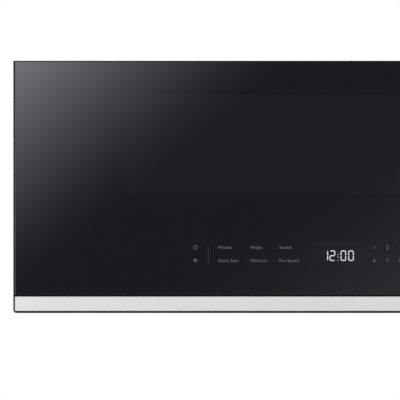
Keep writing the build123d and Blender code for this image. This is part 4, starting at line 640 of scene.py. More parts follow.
class FacePrint:
    """Thin flat marks on the front of the door, drawn in X and Z and given a slight thickness."""

    THICKNESS = 0.05 * MM
    CAPITAL = 0.7  # height of a capital in a font of size 1
    EXTRUSION = 0.01  # to each side of a letter, in the same font
    THINNING = -0.012  # moves the letters' outlines inwards
    ARC_STEP = 15.0  # degrees

    def __init__(self, face_y: float) -> None:
        """Starts an empty print.

        Args:
            face_y: The surface that the marks lie on.
        """
        self.form = bmesh.new()
        self.face_y = face_y
        self.front_y = face_y - self.THICKNESS

    def polygon(self, outline: Iterable[Point]) -> None:
        """Adds a convex mark."""
        points = list(outline)
        front = [self.form.verts.new((x, self.front_y, z)) for x, z in points]
        back = [self.form.verts.new((x, self.face_y, z)) for x, z in points]
        self.form.faces.new(front)
        self.form.faces.new(back[::-1])
        for i in range(len(points)):
            j = (i + 1) % len(points)
            self.form.faces.new((front[i], back[i], back[j], front[j]))

    def bar(self, x: Point, z: Point) -> None:
        """Adds an upright rectangle from low and high ends along X and Z."""
        self.polygon([(x[0], z[0]), (x[1], z[0]), (x[1], z[1]), (x[0], z[1])])

    def square(self, middle: Point, half: float) -> None:
        """Adds a square from its middle and half its side."""
        x, z = middle
        self.bar((x - half, x + half), (z - half, z + half))

    def ring(self, middle: Point, radius: float, width: float, start: float = 0.0,
             turn: float = 360.0) -> None:
        """Adds a ring, or part of one, as short convex pieces.

        Args:
            middle: Its middle.
            radius: Its outer radius.
            width: The width of its line.
            start: Angle at which it starts, in degrees from +X towards +Z.
            turn: How far round it goes.
        """
        steps = max(3, round(turn / self.ARC_STEP))
        for i in range(steps):
            a, b = (start + turn * k / steps for k in (i, i + 1))
            inner = radius - width
            corners = (on_circle(*at) for at in ((radius, a), (radius, b), (inner, b), (inner, a)))
            self.polygon([(middle[0] + x, middle[1] + z) for x, z in corners])

    def words(self, text: str, start: float, base: float, height: float, width: float | None = None) -> None:
        """Adds a line of lettering.

        Args:
            text: The words.
            start: Their left end, or their middle where they have no width.
            base: The line that they stand on.
            height: Height of a capital.
            width: Length of the line, or the font's own where it is None.
        """
        curve = bpy.data.curves.new(f"words_{text}", "FONT")
        curve.body = text
        curve.extrude, curve.offset, curve.resolution_u = self.EXTRUSION, self.THINNING, 3
        mesh = settled(put(curve.name, curve))
        low, high = (pick(v.co.x for v in mesh.vertices) for pick in (min, max))
        up = height / self.CAPITAL
        along = width / (high - low) if width else up
        origin = low if width else (low + high) / 2
        deep = self.THICKNESS / (2 * self.EXTRUSION)
        mesh.transform(Matrix(((along, 0, 0, start - origin * along),
                               (0, 0, -deep, (self.face_y + self.front_y) / 2),
                               (0, up, 0, base), (0, 0, 0, 1))))
        self.form.from_mesh(mesh)
        bpy.data.curves.remove(curve)
        bpy.data.meshes.remove(mesh)

    def mesh(self, name: str) -> bpy.types.Mesh:
        """The finished marks as one mesh."""
        return mesh_from(self.form, name)


class Pattern(Nodes):
    """A Geometry Nodes tree that sets copies of one small shape and ends in plain mesh."""

    SEAM = 2e-6  # copies that touch are joined where their corners lie this close

    def __init__(self, name: str, **inputs: str) -> None:
        """Starts the tree with its Geometry, Shape and Finish inputs.

        Args:
            name: The tree's name.
            inputs: Kinds of its other inputs, by name.
        """
        super().__init__(bpy.data.node_groups.new(name, "GeometryNodeTree"))
        self.tree.interface.new_socket("Geometry", in_out="OUTPUT", socket_type="NodeSocketGeometry")
        self.ids: dict[str, str] = {}
        kinds = {"Geometry": "Geometry", "Shape": "Object", "Finish": "Material", **inputs}
        for label, kind in kinds.items():
            made = self.tree.interface.new_socket(label, in_out="INPUT", socket_type=f"NodeSocket{kind}")
            self.ids[label] = made.identifier
        self.given = self.tree.nodes.new("NodeGroupInput").outputs

    def copies(self, points: Socket, **inputs: Value) -> Socket:
        """A copy of the shape on every point.

        Args:
            points: The points.
            inputs: The copies' Rotation or Scale.
        """
        shape = self.node("GeometryNodeObjectInfo", {"Object": self.given["Shape"]}).outputs["Geometry"]
        return self.node("GeometryNodeInstanceOnPoints",
                         {"Points": points, "Instance": shape, **inputs}).outputs[0]

    def end(self, copies: Socket) -> None:
        """Ends the tree: the copies are realized, get their finish and go out."""
        real = self.node("GeometryNodeRealizeInstances", {0: copies})
        dressed = self.node("GeometryNodeSetMaterial",
                            {"Geometry": real.outputs[0], "Material": self.given["Finish"]})
        self.node("NodeGroupOutput", {0: dressed.outputs[0]})

    def make(self, name: str, seeds: bpy.types.Mesh, shape: bpy.types.Mesh, finish: Finish,
             **sizes: object) -> bpy.types.Mesh:
        """Runs the tree and returns its result as a plain mesh.

        Args:
            name: Name of the mesh.
            seeds: The mesh that the modifier sits on.
            shape: The shape that is copied.
            finish: The copies' finish.
            sizes: Values of the tree's other inputs, by name.
        """
        tile, holder = put(f"{name}_shape", shape), put(name, seeds)
        modifier = holder.modifiers.new(name, "NODES")
        modifier.node_group = self.tree
        for label, value in {"Shape": tile, "Finish": finish.material(), **sizes}.items():
            modifier[self.ids[label]] = value
        mesh = settled(holder, tile)
        form = bmesh.new()
        form.from_mesh(mesh)
        bmesh.ops.remove_doubles(form, verts=form.verts, dist=self.SEAM)
        form.to_mesh(mesh)
        form.free()
        return mesh


def staggered_rows() -> Pattern:
    """A tree that lays a shape out in rows on a plane, every other row moved by half a pitch.

    Returns:
        The tree, with inputs for the pitches, the counts, the place and the turn.
    """
    rows = Pattern("staggered_rows", Pitch="Float", RowPitch="Float", Columns="Int", Rows="Int",
                   Centre="Vector", Turn="Vector")
    pitch, row_pitch = rows.given["Pitch"], rows.given["RowPitch"]
    wide = rows.sum_of("MULTIPLY", pitch, rows.sum_of("SUBTRACT", rows.given["Columns"], 1.0))
    tall = rows.sum_of("MULTIPLY", row_pitch, rows.sum_of("SUBTRACT", rows.given["Rows"], 1.0))
    grid = rows.node("GeometryNodeMeshGrid", {
        "Size X": wide, "Size Y": tall,
        "Vertices X": rows.given["Columns"], "Vertices Y": rows.given["Rows"]})
    split = rows.node("ShaderNodeSeparateXYZ", {0: rows.node("GeometryNodeInputPosition").outputs[0]})
    from_edge = rows.sum_of("ADD", split.outputs["Y"], rows.sum_of("MULTIPLY", tall, 0.5))
    row = rows.sum_of("ROUND", rows.sum_of("DIVIDE", from_edge, row_pitch))
    odd = rows.sum_of("SUBTRACT", rows.sum_of("MODULO", row, 2.0), 0.5)
    shift = rows.sum_of("MULTIPLY", rows.sum_of("MULTIPLY", odd, 0.5), pitch)
    moved = rows.node("GeometryNodeSetPosition", {
        "Geometry": grid.outputs[0], "Offset": rows.node("ShaderNodeCombineXYZ", {0: shift}).outputs[0]})
    placed = rows.node("GeometryNodeTransform", {
        "Geometry": rows.copies(moved.outputs[0]), "Translation": rows.given["Centre"],
        "Rotation": rows.given["Turn"]})
    rows.end(placed.outputs[0])
    return rows


def screws_on_spots() -> Pattern:
    """A tree that sets a screw on every vertex, along its "way" and turned at random about itself.

    Returns:
        The tree, with inputs for the screws' size and the seed of their turns.
    """
    screws = Pattern("screws_on_spots", Size="Float", Seed="Int")
    way = screws.node("GeometryNodeInputNamedAttribute", {"Name": "way"}, data_type="FLOAT_VECTOR")
    aimed = screws.node("FunctionNodeAlignRotationToVector", {"Vector": way.outputs[0]}, axis="Z")
    chance = screws.node("FunctionNodeRandomValue", {"Seed": screws.given["Seed"]}, data_type="FLOAT")
    twist = screws.node("ShaderNodeCombineXYZ", {2: screws.sum_of("MULTIPLY", chance.outputs[1], FULL_TURN)})
    turned = screws.node("FunctionNodeRotateRotation", {0: aimed.outputs[0], 1: twist.outputs[0]},
                         rotation_space="LOCAL")
    screws.end(screws.copies(screws.given["Geometry"], Rotation=turned.outputs[0],
                             Scale=screws.given["Size"]))
    return screws


def ring_tile(outer: list[Point], inner: list[Point], thickness: float, name: str) -> bpy.types.Mesh:
    """A flat tile with a hole, without outer walls, so that tiles join into one sheet.

    Args:
        outer: Corners of the tile, counter-clockwise.
        inner: As many corners of the hole.
        thickness: Thickness of the sheet.
        name: The mesh's name.
    """
    form = bmesh.new()
    low, top, low_hole, hole = ([form.verts.new((x, y, z)) for x, y in points]
                                for points in (outer, inner) for z in (0.0, thickness))
    for i in range(len(outer)):
        j = (i + 1) % len(outer)
        form.faces.new((top[i], top[j], hole[j], hole[i]))
        form.faces.new((low[j], low[i], low_hole[i], low_hole[j]))
        form.faces.new((hole[i], hole[j], low_hole[j], low_hole[i]))
    return written(form, name)


# ============================================================================ SUB-ASSEMBLIES
@dataclass
class PhotoGrid:
    """Turns places in the photograph into metres on the front of the door."""

    pixel: float = 1.106 * MM
    left: float = 13.4
    top: float = 60.6
    door_left: float = -379.5 * MM
    case_top: float = 279.0 * MM

    def x(self, column: float) -> float:
        """The place across the door of a pixel column."""
        return self.door_left + (column - self.left) * self.pixel

    def z(self, row: float) -> float:
        """The height of a pixel row."""
        return self.case_top - (row - self.top) * self.pixel

    def heights(self, rows: Point) -> Point:
        """Low and high end of the stretch between an upper and a lower row."""
        upper, lower = rows
        return self.z(lower), self.z(upper)


@dataclass
class DoorFront:
    """The glass, its printed controls, the clock, the trim strip and the moulded frame.

    Columns and rows are places in the photograph's grid, and all other sizes are metres.
    """

    grid: PhotoGrid
    window_left: float = 123.7
    window_rows: Point = (94.4, 194.0)
    display_columns: Point = (308.7, 362.8)
    display_rows: Point = (241.5, 263.7)
    glass_bevel: float = 0.9 * MM
    # How far the painted shade of the groove reaches onto the strip and the glass.
    groove_shade_lap: float = 0.4 * MM
    board_face: float = 1.7 * MM

    print_rows: Point = (247.1, 260.3)
    icon_column: float = 195.4
    icon_line: float = 0.34 * MM
    power_radius: float = 2.1 * MM
    power_arc: Point = (112.0, 316.0)
    power_bar: Point = (0.7 * MM, 2.8 * MM)
    lamp_radius: float = 1.1 * MM
    lamp_line: float = 0.7 * MM
    ray_reach: Point = (1.6 * MM, 2.4 * MM)
    ray_half: float = 0.2 * MM
    rays: int = 8
    divider_columns: Point = (208.3, 440.0)
    divider_rows: Point = (245.2, 263.4)
    divider_half: float = 0.3 * MM
    cap_height: float = 3.4 * MM
    words: tuple[tuple[str, float, float, int], ...] = (
        ("Minutes", 218.6, 231.8, 0), ("Weight", 250.4, 262.0, 0), ("Seconds", 279.7, 292.0, 0),
        ("Quick Start", 218.6, 238.7, 1), ("Child Lock", 250.4, 267.5, 1), ("Fan Speed", 279.7, 298.7, 1))
    key_left: float = 374.4
    key_pitch: float = 13.05
    figure_height: float = 4.3 * MM
    end_column: float = 452.0
    stop_half: float = 1.8 * MM
    start_corners: tuple[Point, ...] = ((-1.6 * MM, -2.0 * MM), (2.2 * MM, 0.0), (-1.6 * MM, 2.0 * MM))

    clock_rows: Point = (250.3, 260.7)
    clock_figures: tuple[tuple[str, float], ...] = (("1", 328.2), ("2", 335.3), ("0", 346.2), ("0", 353.9))
    clock_stroke: float = 1.0 * MM
    clock_gap: float = 0.16 * MM
    digit_width: float = 6.1 * MM
    colon_column: float = 338.1
    colon_rows: Spot = (254.4, 256.9, 260.2)
    dot_half: float = 0.42 * MM

    # The printed marks' glow is painted light; the clock's glow is the display's own light.
    ink: Ink = Ink("print_grey", (0.17, 0.175, 0.185), 0.6, glow=0.25)
    faint_ink: Ink = Ink("print_dim", (0.040, 0.041, 0.044), 0.6, glow=0.1)
    light: Ink = Ink("clock_light", (0.60, 0.62, 0.65), 0.6, glow=0.45)

    def build(self) -> None:
        """Makes the print and the clock, and dresses the door's visible nodes."""
        self.dress_nodes()
        self.add_print()
        self.add_clock()

    def dress_nodes(self) -> None:
        """Dresses the glass, the strip and the frame."""
        window_x = self.grid.x(self.window_left)
        # The glass's ground bevels get a pale colour that is partly their own tone, partly a painted
        # highlight.
        face_x = box_of("door_glass")[1].x - self.glass_bevel
        left, right = (self.grid.x(column) for column in self.display_columns)
        dress(PrintedGlass(
            "door_glass_print", (0.0136, 0.0144, 0.0179), 0.02,
            window={"X": (window_x, -window_x), "Z": self.grid.heights(self.window_rows)},
            window_colour=(0.0160, 0.0168, 0.0206), line_colour=(0.0128, 0.0135, 0.0170),
            display={"X": (left, right), "Z": self.grid.heights(self.display_rows)},
            display_colour=(0.0160, 0.0168, 0.0204),
            face={"X": (-face_x, face_x)}, ground_and_painted_highlight_colour=(0.185, 0.187, 0.193)), "door_glass")
        dress(BrushedMetal("strip_satin", (0.818, 0.812, 0.797), 0.36, metal=0.35, relief=0.04), "trim_strip")
        strip_top, glass_foot = box_of("trim_strip")[1].z, box_of("door_glass")[0].z
        # The groove between the strip and the glass is painted near-black and nearly without gloss: painted
        # shade in the recess.
        groove_shade = Zone({"Z": (strip_top - self.groove_shade_lap, glass_foot + self.groove_shade_lap)},
                      (0.001, 0.001, 0.001), 0.9, specular=0.02)
        dress(Zoned("frame_black", (0.009, 0.0093, 0.011), 0.45, zones=(groove_shade,), specular=0.22,
                    grain=1600.0, relief=0.08), "door_frame")
        face = box_of("display_module")[0].y + self.board_face
        chips = Zone({"Y": (face, box_of("touch_board")[1].y + MM)}, DEEP_BLACK, 0.4)
        dress(CircuitBoard("touch_circuit", SOLDER_MASK, 0.35, zones=(chips,)), "touch_board")
        dress(Moulding("display_block", (0.02, 0.02, 0.023), 0.3, relief=0.03), "display_module")

    def add_print(self) -> None:
        """Adds the icons, function words, keypad figures and dividing lines to the glass."""
        glass_y = box_of("door_glass")[0].y
        marks, faint = FacePrint(glass_y), FacePrint(glass_y)
        heights = [self.grid.z(row) for row in self.print_rows]
        self.add_left_icons(marks, *heights)
        for text, left, right, row in self.words:
            marks.words(text, self.grid.x(left), heights[row] - self.cap_height / 2, self.cap_height,
                        (right - left) * self.grid.pixel)
        for middle, figures in zip(heights, ("12345", "67890")):
            for i, figure in enumerate(figures):
                marks.words(figure, self.grid.x(self.key_left + i * self.key_pitch),
                            middle - self.figure_height / 2, self.figure_height)
        self.add_right_icons(marks, *heights)
        for x in (self.grid.x(column) for column in self.divider_columns):
            faint.bar((x - self.divider_half, x + self.divider_half), self.grid.heights(self.divider_rows))
        add_piece("touch_print", marks.mesh("touch_print"), "door", self.ink)
        add_piece("touch_dividers", faint.mesh("touch_dividers"), "door", self.faint_ink)

    def add_left_icons(self, marks: FacePrint, upper: float, lower: float) -> None:
        """Adds the power ring and the lamp at the left end.

        Args:
            marks: The print that they go into.
            upper: The middle of the upper row.
            lower: The middle of the lower row.
        """
        x, half = self.grid.x(self.icon_column), self.icon_line / 2
        marks.ring((x, upper), self.power_radius, self.icon_line, *self.power_arc)
        marks.bar((x - half, x + half), tuple(upper + reach for reach in self.power_bar))
        marks.ring((x, lower), self.lamp_radius, self.lamp_line)
        for i in range(self.rays):
            out = Vector(on_circle(1.0, 360 * i / self.rays))
            side = Vector((-out.y, out.x)) * self.ray_half
            near, far = (Vector((x, lower)) + out * reach for reach in self.ray_reach)
            marks.polygon([tuple(p) for p in (near - side, far - side, far + side, near + side)])

    def add_right_icons(self, marks: FacePrint, upper: float, lower: float) -> None:
        """Adds the start arrow in the upper row and the stop square in the lower one."""
        x = self.grid.x(self.end_column)
        marks.polygon([(x + across, upper + up) for across, up in self.start_corners])
        marks.square((x, lower), self.stop_half)

    def add_clock(self) -> None:
        """Adds the clock's lit figures, the colon's two dots and the point at the figures' foot."""
        clock = FacePrint(box_of("door_glass")[0].y)
        heights = self.grid.heights(self.clock_rows)
        for figure, column in self.clock_figures:
            right = self.grid.x(column)
            self.add_figure(clock, figure, (right - self.digit_width, right), heights)
        for row in self.colon_rows:
            clock.square((self.grid.x(self.colon_column), self.grid.z(row)), self.dot_half)
        add_piece("clock_figures", clock.mesh("clock_figures"), "door", self.light)

    def add_figure(self, clock: FacePrint, figure: str, x: Point, z: Point) -> None:
        """Adds one seven-segment figure.

        Args:
            clock: The print that it goes into.
            figure: Which figure.
            x: Its left and right edge.
            z: Its lower and upper edge.
        """
        gap, h = self.clock_gap, self.clock_stroke / 2
        left, right = x[0] + h, x[1] - h
        low, high = z[0] + h, z[1] - h
        middle = (low + high) / 2
        flat = {"a": high, "g": middle, "d": low}
        upright = {"f": (left, middle, high), "e": (left, low, middle), "b": (right, middle, high),
                   "c": (right, low, middle)}
        for name in SEGMENTS[figure]:
            if name in flat:
                at, start, end = flat[name], left + gap, right - gap
            else:
                at, start, end = upright[name]
                start, end = start + gap, end - gap
            outline = [(start, at), (start + h, at - h), (end - h, at - h), (end, at), (end - h, at + h),
                       (start + h, at + h)]
            clock.polygon(outline if name in flat else [(across, along) for along, across in outline[::-1]])


@dataclass
class DoorBack:
    """The oven side of the door: choke, screen, inner window, hinges' bushes and latch."""

    screen_pitch: float = 5.0 * MM
    screen_hole: float = 3.4 * MM
    screen_thickness: float = 0.45 * MM
    screen_inset: float = 9.0 * MM
    screen_gap: float = 0.05 * MM
    plate_seat: float = 0.6 * MM
    spring_wire: float = 0.9 * MM
    spring_turns: int = 6
    spring_steps: int = 28
    wire_sides: int = 10
    latch_travel: float = 4.0 * MM

    def build(self, rows: Pattern) -> None:
        """Dresses the nodes and adds the perforated screen and the latch's spring.

        Args:
            rows: The tree that lays the holes out.
        """
        dress(Enamel("choke_black", DEEP_BLACK, 0.3, speck=(0.06, 0.06, 0.065)), "choke_panel")
        dress(Moulding("cover_black", (0.024, 0.024, 0.026), 0.45), "choke_cover")
        dress(ClearSheet("inner_clear", (0.96, 0.97, 0.97), 0.02, ior=1.35), "inner_window")
        dress(Moulding("acetal_white", (0.78, 0.77, 0.73), 0.4), "hinge_bushes", "latch_hooks")
        self.add_screen(rows)
        self.add_spring()

    def add_screen(self, rows: Pattern) -> None:
        """Adds the perforated screen in its seat on the window plate."""
        pitch = self.screen_pitch
        outer, inner = ([on_circle(radius, 30 + 60 * i) for i in range(6)]
                        for radius in (pitch / math.sqrt(3), self.screen_hole / 2))
        low, high = box_of("inner_window")
        wide, tall = high.x - low.x - 2 * self.screen_inset, high.z - low.z - 2 * self.screen_inset
        row_pitch = pitch * math.sqrt(3) / 2
        front_y = box_of("choke_panel")[1].y - self.plate_seat + self.screen_gap
        mesh = rows.make(
            "window_screen", bpy.data.meshes.new("screen_seed"),
            ring_tile(outer, inner, self.screen_thickness, "screen_tile"),
            Enamel("screen_black", (0.016, 0.016, 0.018), 0.35, speck=(0.05, 0.05, 0.055)),
            Pitch=pitch, RowPitch=row_pitch, Columns=int(wide / pitch), Rows=int(tall / row_pitch),
            Centre=(0.0, front_y + self.screen_thickness, (low.z + high.z) / 2),
            Turn=(math.radians(90), 0.0, 0.0))
        add_piece("window_screen", mesh, "door")

    def add_spring(self) -> None:
        """Adds the latch's coil spring, with flat end coils, which rides on the latch."""
        low, high = box_of("latch_spring")
        wire = self.spring_wire / 2
        middle = (low + high) / 2
        radius = min(high.x - low.x, high.y - low.y) / 2 - wire
        length = high.z - low.z - 2 * wire
        steps, dead = self.spring_steps * self.spring_turns, 1.0 / self.spring_turns
        form = bmesh.new()
        rings = []
        for i in range(steps + 1):
            share = i / steps
            # The first and the last coil climb by one wire, and the others by the rest.
            flat = (min(share, dead) + max(share - 1 + dead, 0.0)) / dead
            open_part = min(max((share - dead) / (1 - 2 * dead), 0.0), 1.0)
            rise = flat * 2 * wire + open_part * (length - 4 * wire)
            out = Vector((*on_circle(1.0, 360 * self.spring_turns * share), 0.0))
            centre = Vector((middle.x, middle.y, low.z + wire + rise)) + out * radius
            section = (on_circle(wire, 360 * k / self.wire_sides) for k in range(self.wire_sides))
            rings.append([form.verts.new(centre + out * across + Vector((0, 0, up)))
                          for across, up in section])
        for first, second in zip(rings, rings[1:]):
            for k in range(self.wire_sides):
                form.faces.new((first[k], first[k - 1], second[k - 1], second[k]))
        form.faces.new(rings[0])
        form.faces.new(rings[-1][::-1])
        finish = BrushedMetal("spring_wire", (0.55, 0.55, 0.56), 0.3, streak=Streak.ALONG_Z)
        piece = add_piece("latch_coil", mesh_from(form, "latch_coil"), "latch", finish)
        for polygon in piece.data.polygons:
            polygon.use_smooth = True
        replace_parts(piece, "latch_spring")
        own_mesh(piece)


@dataclass
class Screws:
    """Pan-head screws with a cross recess, along the case's sides, the hinges and the back.

    A screw is drawn in millimetres and then scaled. The places of the screws are metres.
    """

    head_radius: float = 4.0
    head_height: float = 2.0
    head_curve: tuple[Point, ...] = (
        (0.0, 1.0), (0.45, 0.98), (0.75, 0.84), (0.93, 0.55), (1.0, 0.2), (1.0, 0.0))
    head_sides: int = 20
    shank_radius: float = 1.75
    shank_length: float = 6.8
    thread_turns: int = 6
    thread_start: float = 0.6
    thread_length: float = 5.2
    thread_crest: float = 0.3
    thread_root: float = 0.82
    recess_width: float = 1.1
    recess_reach: float = 2.4
    recess_depth: float = 1.3

    side_heights: Spot = (60.0 * MM, 140.0 * MM, 220.0 * MM)
    side_inset: float = 7.0 * MM
    hinge_inset: float = 22.0 * MM
    hinge_rows: Point = (4.0 * MM, 22.0 * MM)
    back_inset: float = 11.0 * MM
    back_size: float = 0.72
    seed: int = 7
    finish: BrushedMetal = BrushedMetal("screw_zinc", (0.40, 0.40, 0.41), 0.35, streak=Streak.ALONG_Z)

    def head(self) -> bpy.types.Mesh:
        """One screw along +Z, its seat at the origin, in metres."""
        form = bmesh.new()
        shank, length, height = self.shank_radius, self.shank_length, self.head_height
        outline = [(self.head_radius * out, height * up) for out, up in self.head_curve] + [(shank, 0.0)]
        for i in range(self.thread_turns):
            z = -self.thread_start - i * self.thread_length / self.thread_turns
            outline += [(shank * self.thread_root, z), (shank, z - self.thread_crest)]
        outline += [(shank * 0.5, -length), (0.0, -length)]
        verts = [form.verts.new((x, 0.0, z)) for x, z in outline]
        edges = [form.edges.new(pair) for pair in zip(verts, verts[1:])]
        bmesh.ops.spin(form, geom=verts + edges, cent=(0, 0, 0), axis=(0, 0, 1), angle=FULL_TURN,
                       steps=self.head_sides)
        solid = put("screw_solid", mesh_from(form, "screw_solid"))
        cross = bmesh.new()
        for turn in (0, 90):
            made = bmesh.ops.create_cube(cross, size=1.0)
            size = Matrix.Diagonal((2 * self.recess_reach, self.recess_width, 2 * self.recess_depth, 1))
            place = Matrix.Translation((0, 0, height)) @ Matrix.Rotation(math.radians(turn), 4, "Z") @ size
            bmesh.ops.transform(cross, matrix=place, verts=made["verts"])
        tool = put("screw_cross", written(cross, "screw_cross"))
        cut = solid.modifiers.new("recess", "BOOLEAN")
        cut.operation, cut.object, cut.solver, cut.use_self = "DIFFERENCE", tool, "EXACT", True
        mesh = settled(solid, tool)
        mesh.transform(Matrix.Scale(MM, 4))
        return mesh

    def add_set(self, screws: Pattern, name: str, places: list[tuple[Spot, Spot]], size: float,
                seed: int) -> bpy.types.Object:
        """Adds a set of screws as one piece.

        Args:
            screws: The tree that sets them.
            name: The piece's name.
            places: The place of each screw's seat, and the way that it points.
            size: Its size, where 1 is the screw as drawn.
            seed: Seed of the turns.

        Returns:
            The piece.
        """
        spots = bpy.data.meshes.new(f"{name}_spots")
        spots.from_pydata([place for place, _ in places], [], [])
        ways = spots.attributes.new("way", "FLOAT_VECTOR", "POINT")
        for i, (_, way) in enumerate(places):
            ways.data[i].vector = way
        mesh = screws.make(name, spots, self.head(), self.finish, Size=size, Seed=seed)
        return add_piece(name, mesh, "case")

    def build(self, screws: Pattern) -> None:
        """Replaces the plain CAD screws and adds the ones round the back panel.

        Args:
            screws: The tree that sets them.
        """
        low, high = box_of("case_screws")
        back = box_of("back_panel")[1]
        side_x, side_y = high.x - self.head_height * MM, back.y - self.side_inset
        case = [((side * side_x, side_y, z), (side, 0.0, 0.0))
                for side in (-1, 1) for z in self.side_heights]
        hinge_x, hinge_y = box_of("hinge_upper")[0].x + self.hinge_inset, box_of("front_plate")[0].y
        hinge_z = [high.z - row for row in self.hinge_rows] + [low.z + row for row in self.hinge_rows]
        case += [((hinge_x, hinge_y, z), (0.0, -1.0, 0.0)) for z in hinge_z]
        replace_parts(self.add_set(screws, "case_screw_set", case, 1.0, self.seed), "case_screws")
        inset = self.back_inset
        across = (back.x - inset, back.x * 0.5, 0.0, -back.x * 0.5, inset - back.x)
        rear = [((x, back.y, z), (0.0, 1.0, 0.0)) for x in across for z in (inset, back.z - inset)]
        self.add_set(screws, "back_screw_set", rear, self.back_size, self.seed + 1)


class Case:
    """The steel shell: wrapper, front plate, base, back, wall plate, hinges and fittings."""

    def build(self) -> None:
        """Dresses the shell's nodes."""
        dress(PowderCoat("case_powder", (0.020, 0.0205, 0.0225), 0.5), "outer_case")
        dress(Enamel("front_plate_grey", (0.055, 0.055, 0.058), 0.35, speck=(0.12, 0.12, 0.12)),
              "front_plate")
        dress(Enamel("base_enamel", (0.028, 0.028, 0.031), 0.4, speck=(0.09, 0.09, 0.095)), "base_pan")
        dress(ZincSheet("panel_zinc", (0.52, 0.53, 0.54), 0.42, spangle=95.0),
              "back_panel", "exhaust_collar")
        dress(ZincSheet("plate_zinc", (0.47, 0.48, 0.50), 0.38, spangle=75.0), "wall_plate")
        dress(BrushedMetal("hinge_steel", (0.50, 0.50, 0.52), 0.35, streak=Streak.ALONG_Z),
              "hinge_upper", "hinge_lower")
        dress(Rubber("grommet_black", (0.016, 0.016, 0.017), 0.7), "cord_grommet")
        dress(Moulding("grille_black", (0.022, 0.022, 0.024), 0.5), "vent_grille")
        dress(ZincSheet("flap_zinc", (0.60, 0.61, 0.62), 0.35, spangle=90.0), "damper_flap")
        dress(CharcoalPad("charcoal_black", (0.018, 0.018, 0.019), 0.9), "charcoal_filter")


@dataclass
class OvenInside:
    """The oven box, its turntable and lamp, and the mica over the feed."""

    motor_plug: float = 5.2 * MM
    bracket_lip: float = 4.0 * MM
    bracket_end: float = 3.0 * MM

    def build(self) -> None:
        """Dresses the oven's nodes."""
        dress(Enamel("oven_enamel", (0.62, 0.62, 0.60), 0.32, speck=(0.34, 0.34, 0.35)), "cavity")
        dress(ClearSheet("tray_glass", (0.90, 0.96, 0.94), 0.03, ior=1.5, ripple=0.08), "glass_tray")
        dress(Moulding("turntable_white", (0.76, 0.74, 0.69), 0.45), "roller_ring", "drive_coupler",
              "roller_front", "roller_left", "roller_right")
        dress(Mica("mica_sheet", (0.50, 0.43, 0.31), 0.45), "mica_cover")
        plug = Zone(slab("turntable_motor", "Y", self.motor_plug), CONNECTOR_WHITE, 0.5)
        dress(Zoned("tray_motor_zinc", (0.55, 0.55, 0.56), 0.38, zones=(plug,), metal=0.9), "turntable_motor")
        low, high = box_of("oven_lamp")
        bulb = Zone({"X": (low.x + self.bracket_lip, high.x - self.bracket_end),
                     "Y": (low.y + self.bracket_lip, high.y - self.bracket_lip)}, (0.85, 0.82, 0.72), 0.2)
        dress(Zoned("lamp_bracket", (0.56, 0.56, 0.57), 0.38, zones=(bulb,), metal=0.9), "oven_lamp")


@dataclass
class Underside:
    """Grease filters with their expanded metal, and the two cooktop lights."""

    strand_x: float = 9.0 * MM
    strand_y: float = 5.0 * MM
    strand_width: float = 0.28
    strand_thickness: float = 0.5 * MM
    strand_height: float = 1.9 * MM
    rim: float = 9.0 * MM
    holder_inset: float = 8.2 * MM
    holder_half: Point = (7.0 * MM, 13.0 * MM)
    holder_ends: Point = (3.0 * MM, 1.3 * MM)

    def build(self, rows: Pattern) -> None:
        """Dresses the nodes and adds the expanded metal.

        Args:
            rows: The tree that lays the strands out.
        """
        dress(KnittedPad("filter_pad", (0.66, 0.67, 0.68), 0.35), "grease_filter_left", "grease_filter_right")
        dress(ClearSheet("lens_frosted", (0.93, 0.94, 0.93), 0.38, ior=1.46, ripple=0.25),
              "lamp_cover_left", "lamp_cover_right")
        dress(ClearSheet("bulb_frosted", (0.95, 0.94, 0.90), 0.3, clear=0.7, ior=1.45), "cooktop_bulbs")
        low, high = box_of("lamp_housings")
        middle_y = (low.y + high.y) / 2
        half_x, half_y = self.holder_half
        holders = tuple(Zone({"X": (x - half_x, x + half_x),
                              "Z": (low.z + self.holder_ends[0], high.z - self.holder_ends[1]),
                              "Y": (middle_y - half_y, middle_y + half_y)}, (0.80, 0.78, 0.72), 0.5)
                        for x in (low.x + self.holder_inset, high.x - self.holder_inset))
        dress(Zoned("reflector", (0.72, 0.72, 0.73), 0.25, zones=holders, metal=0.95, relief=0.03),
              "lamp_housings")
        for side in ("left", "right"):
            self.add_strands(rows, side)

    def add_strands(self, rows: Pattern, side: str) -> None:
        """Adds the expanded metal that covers one filter's pad from below."""
        half_x, half_y = self.strand_x / 2, self.strand_y / 2
        outer = [(half_x, 0.0), (0.0, half_y), (-half_x, 0.0), (0.0, -half_y)]
        inner = [(x * (1 - self.strand_width), y * (1 - self.strand_width)) for x, y in outer]
        low, high = box_of(f"grease_filter_{side}")
        wide = high.x - low.x - 2 * self.rim - self.strand_x
        tall = high.y - low.y - 2 * self.rim - self.strand_y
        mesh = rows.make(
            f"filter_strands_{side}", bpy.data.meshes.new("strand_seed"),
            ring_tile(outer, inner, self.strand_thickness, f"strand_{side}"),
            BrushedMetal("strand_aluminium", (0.66, 0.67, 0.69), 0.32),
            Pitch=self.strand_x, RowPitch=half_y, Columns=int(wide / self.strand_x) + 1,
            Rows=int(tall / half_y) + 1, Turn=(0.0, 0.0, 0.0),
            Centre=((low.x + high.x) / 2, (low.y + high.y) / 2, low.z + self.strand_height))
        add_piece(f"filter_strands_{side}", mesh, f"filter_{side}")


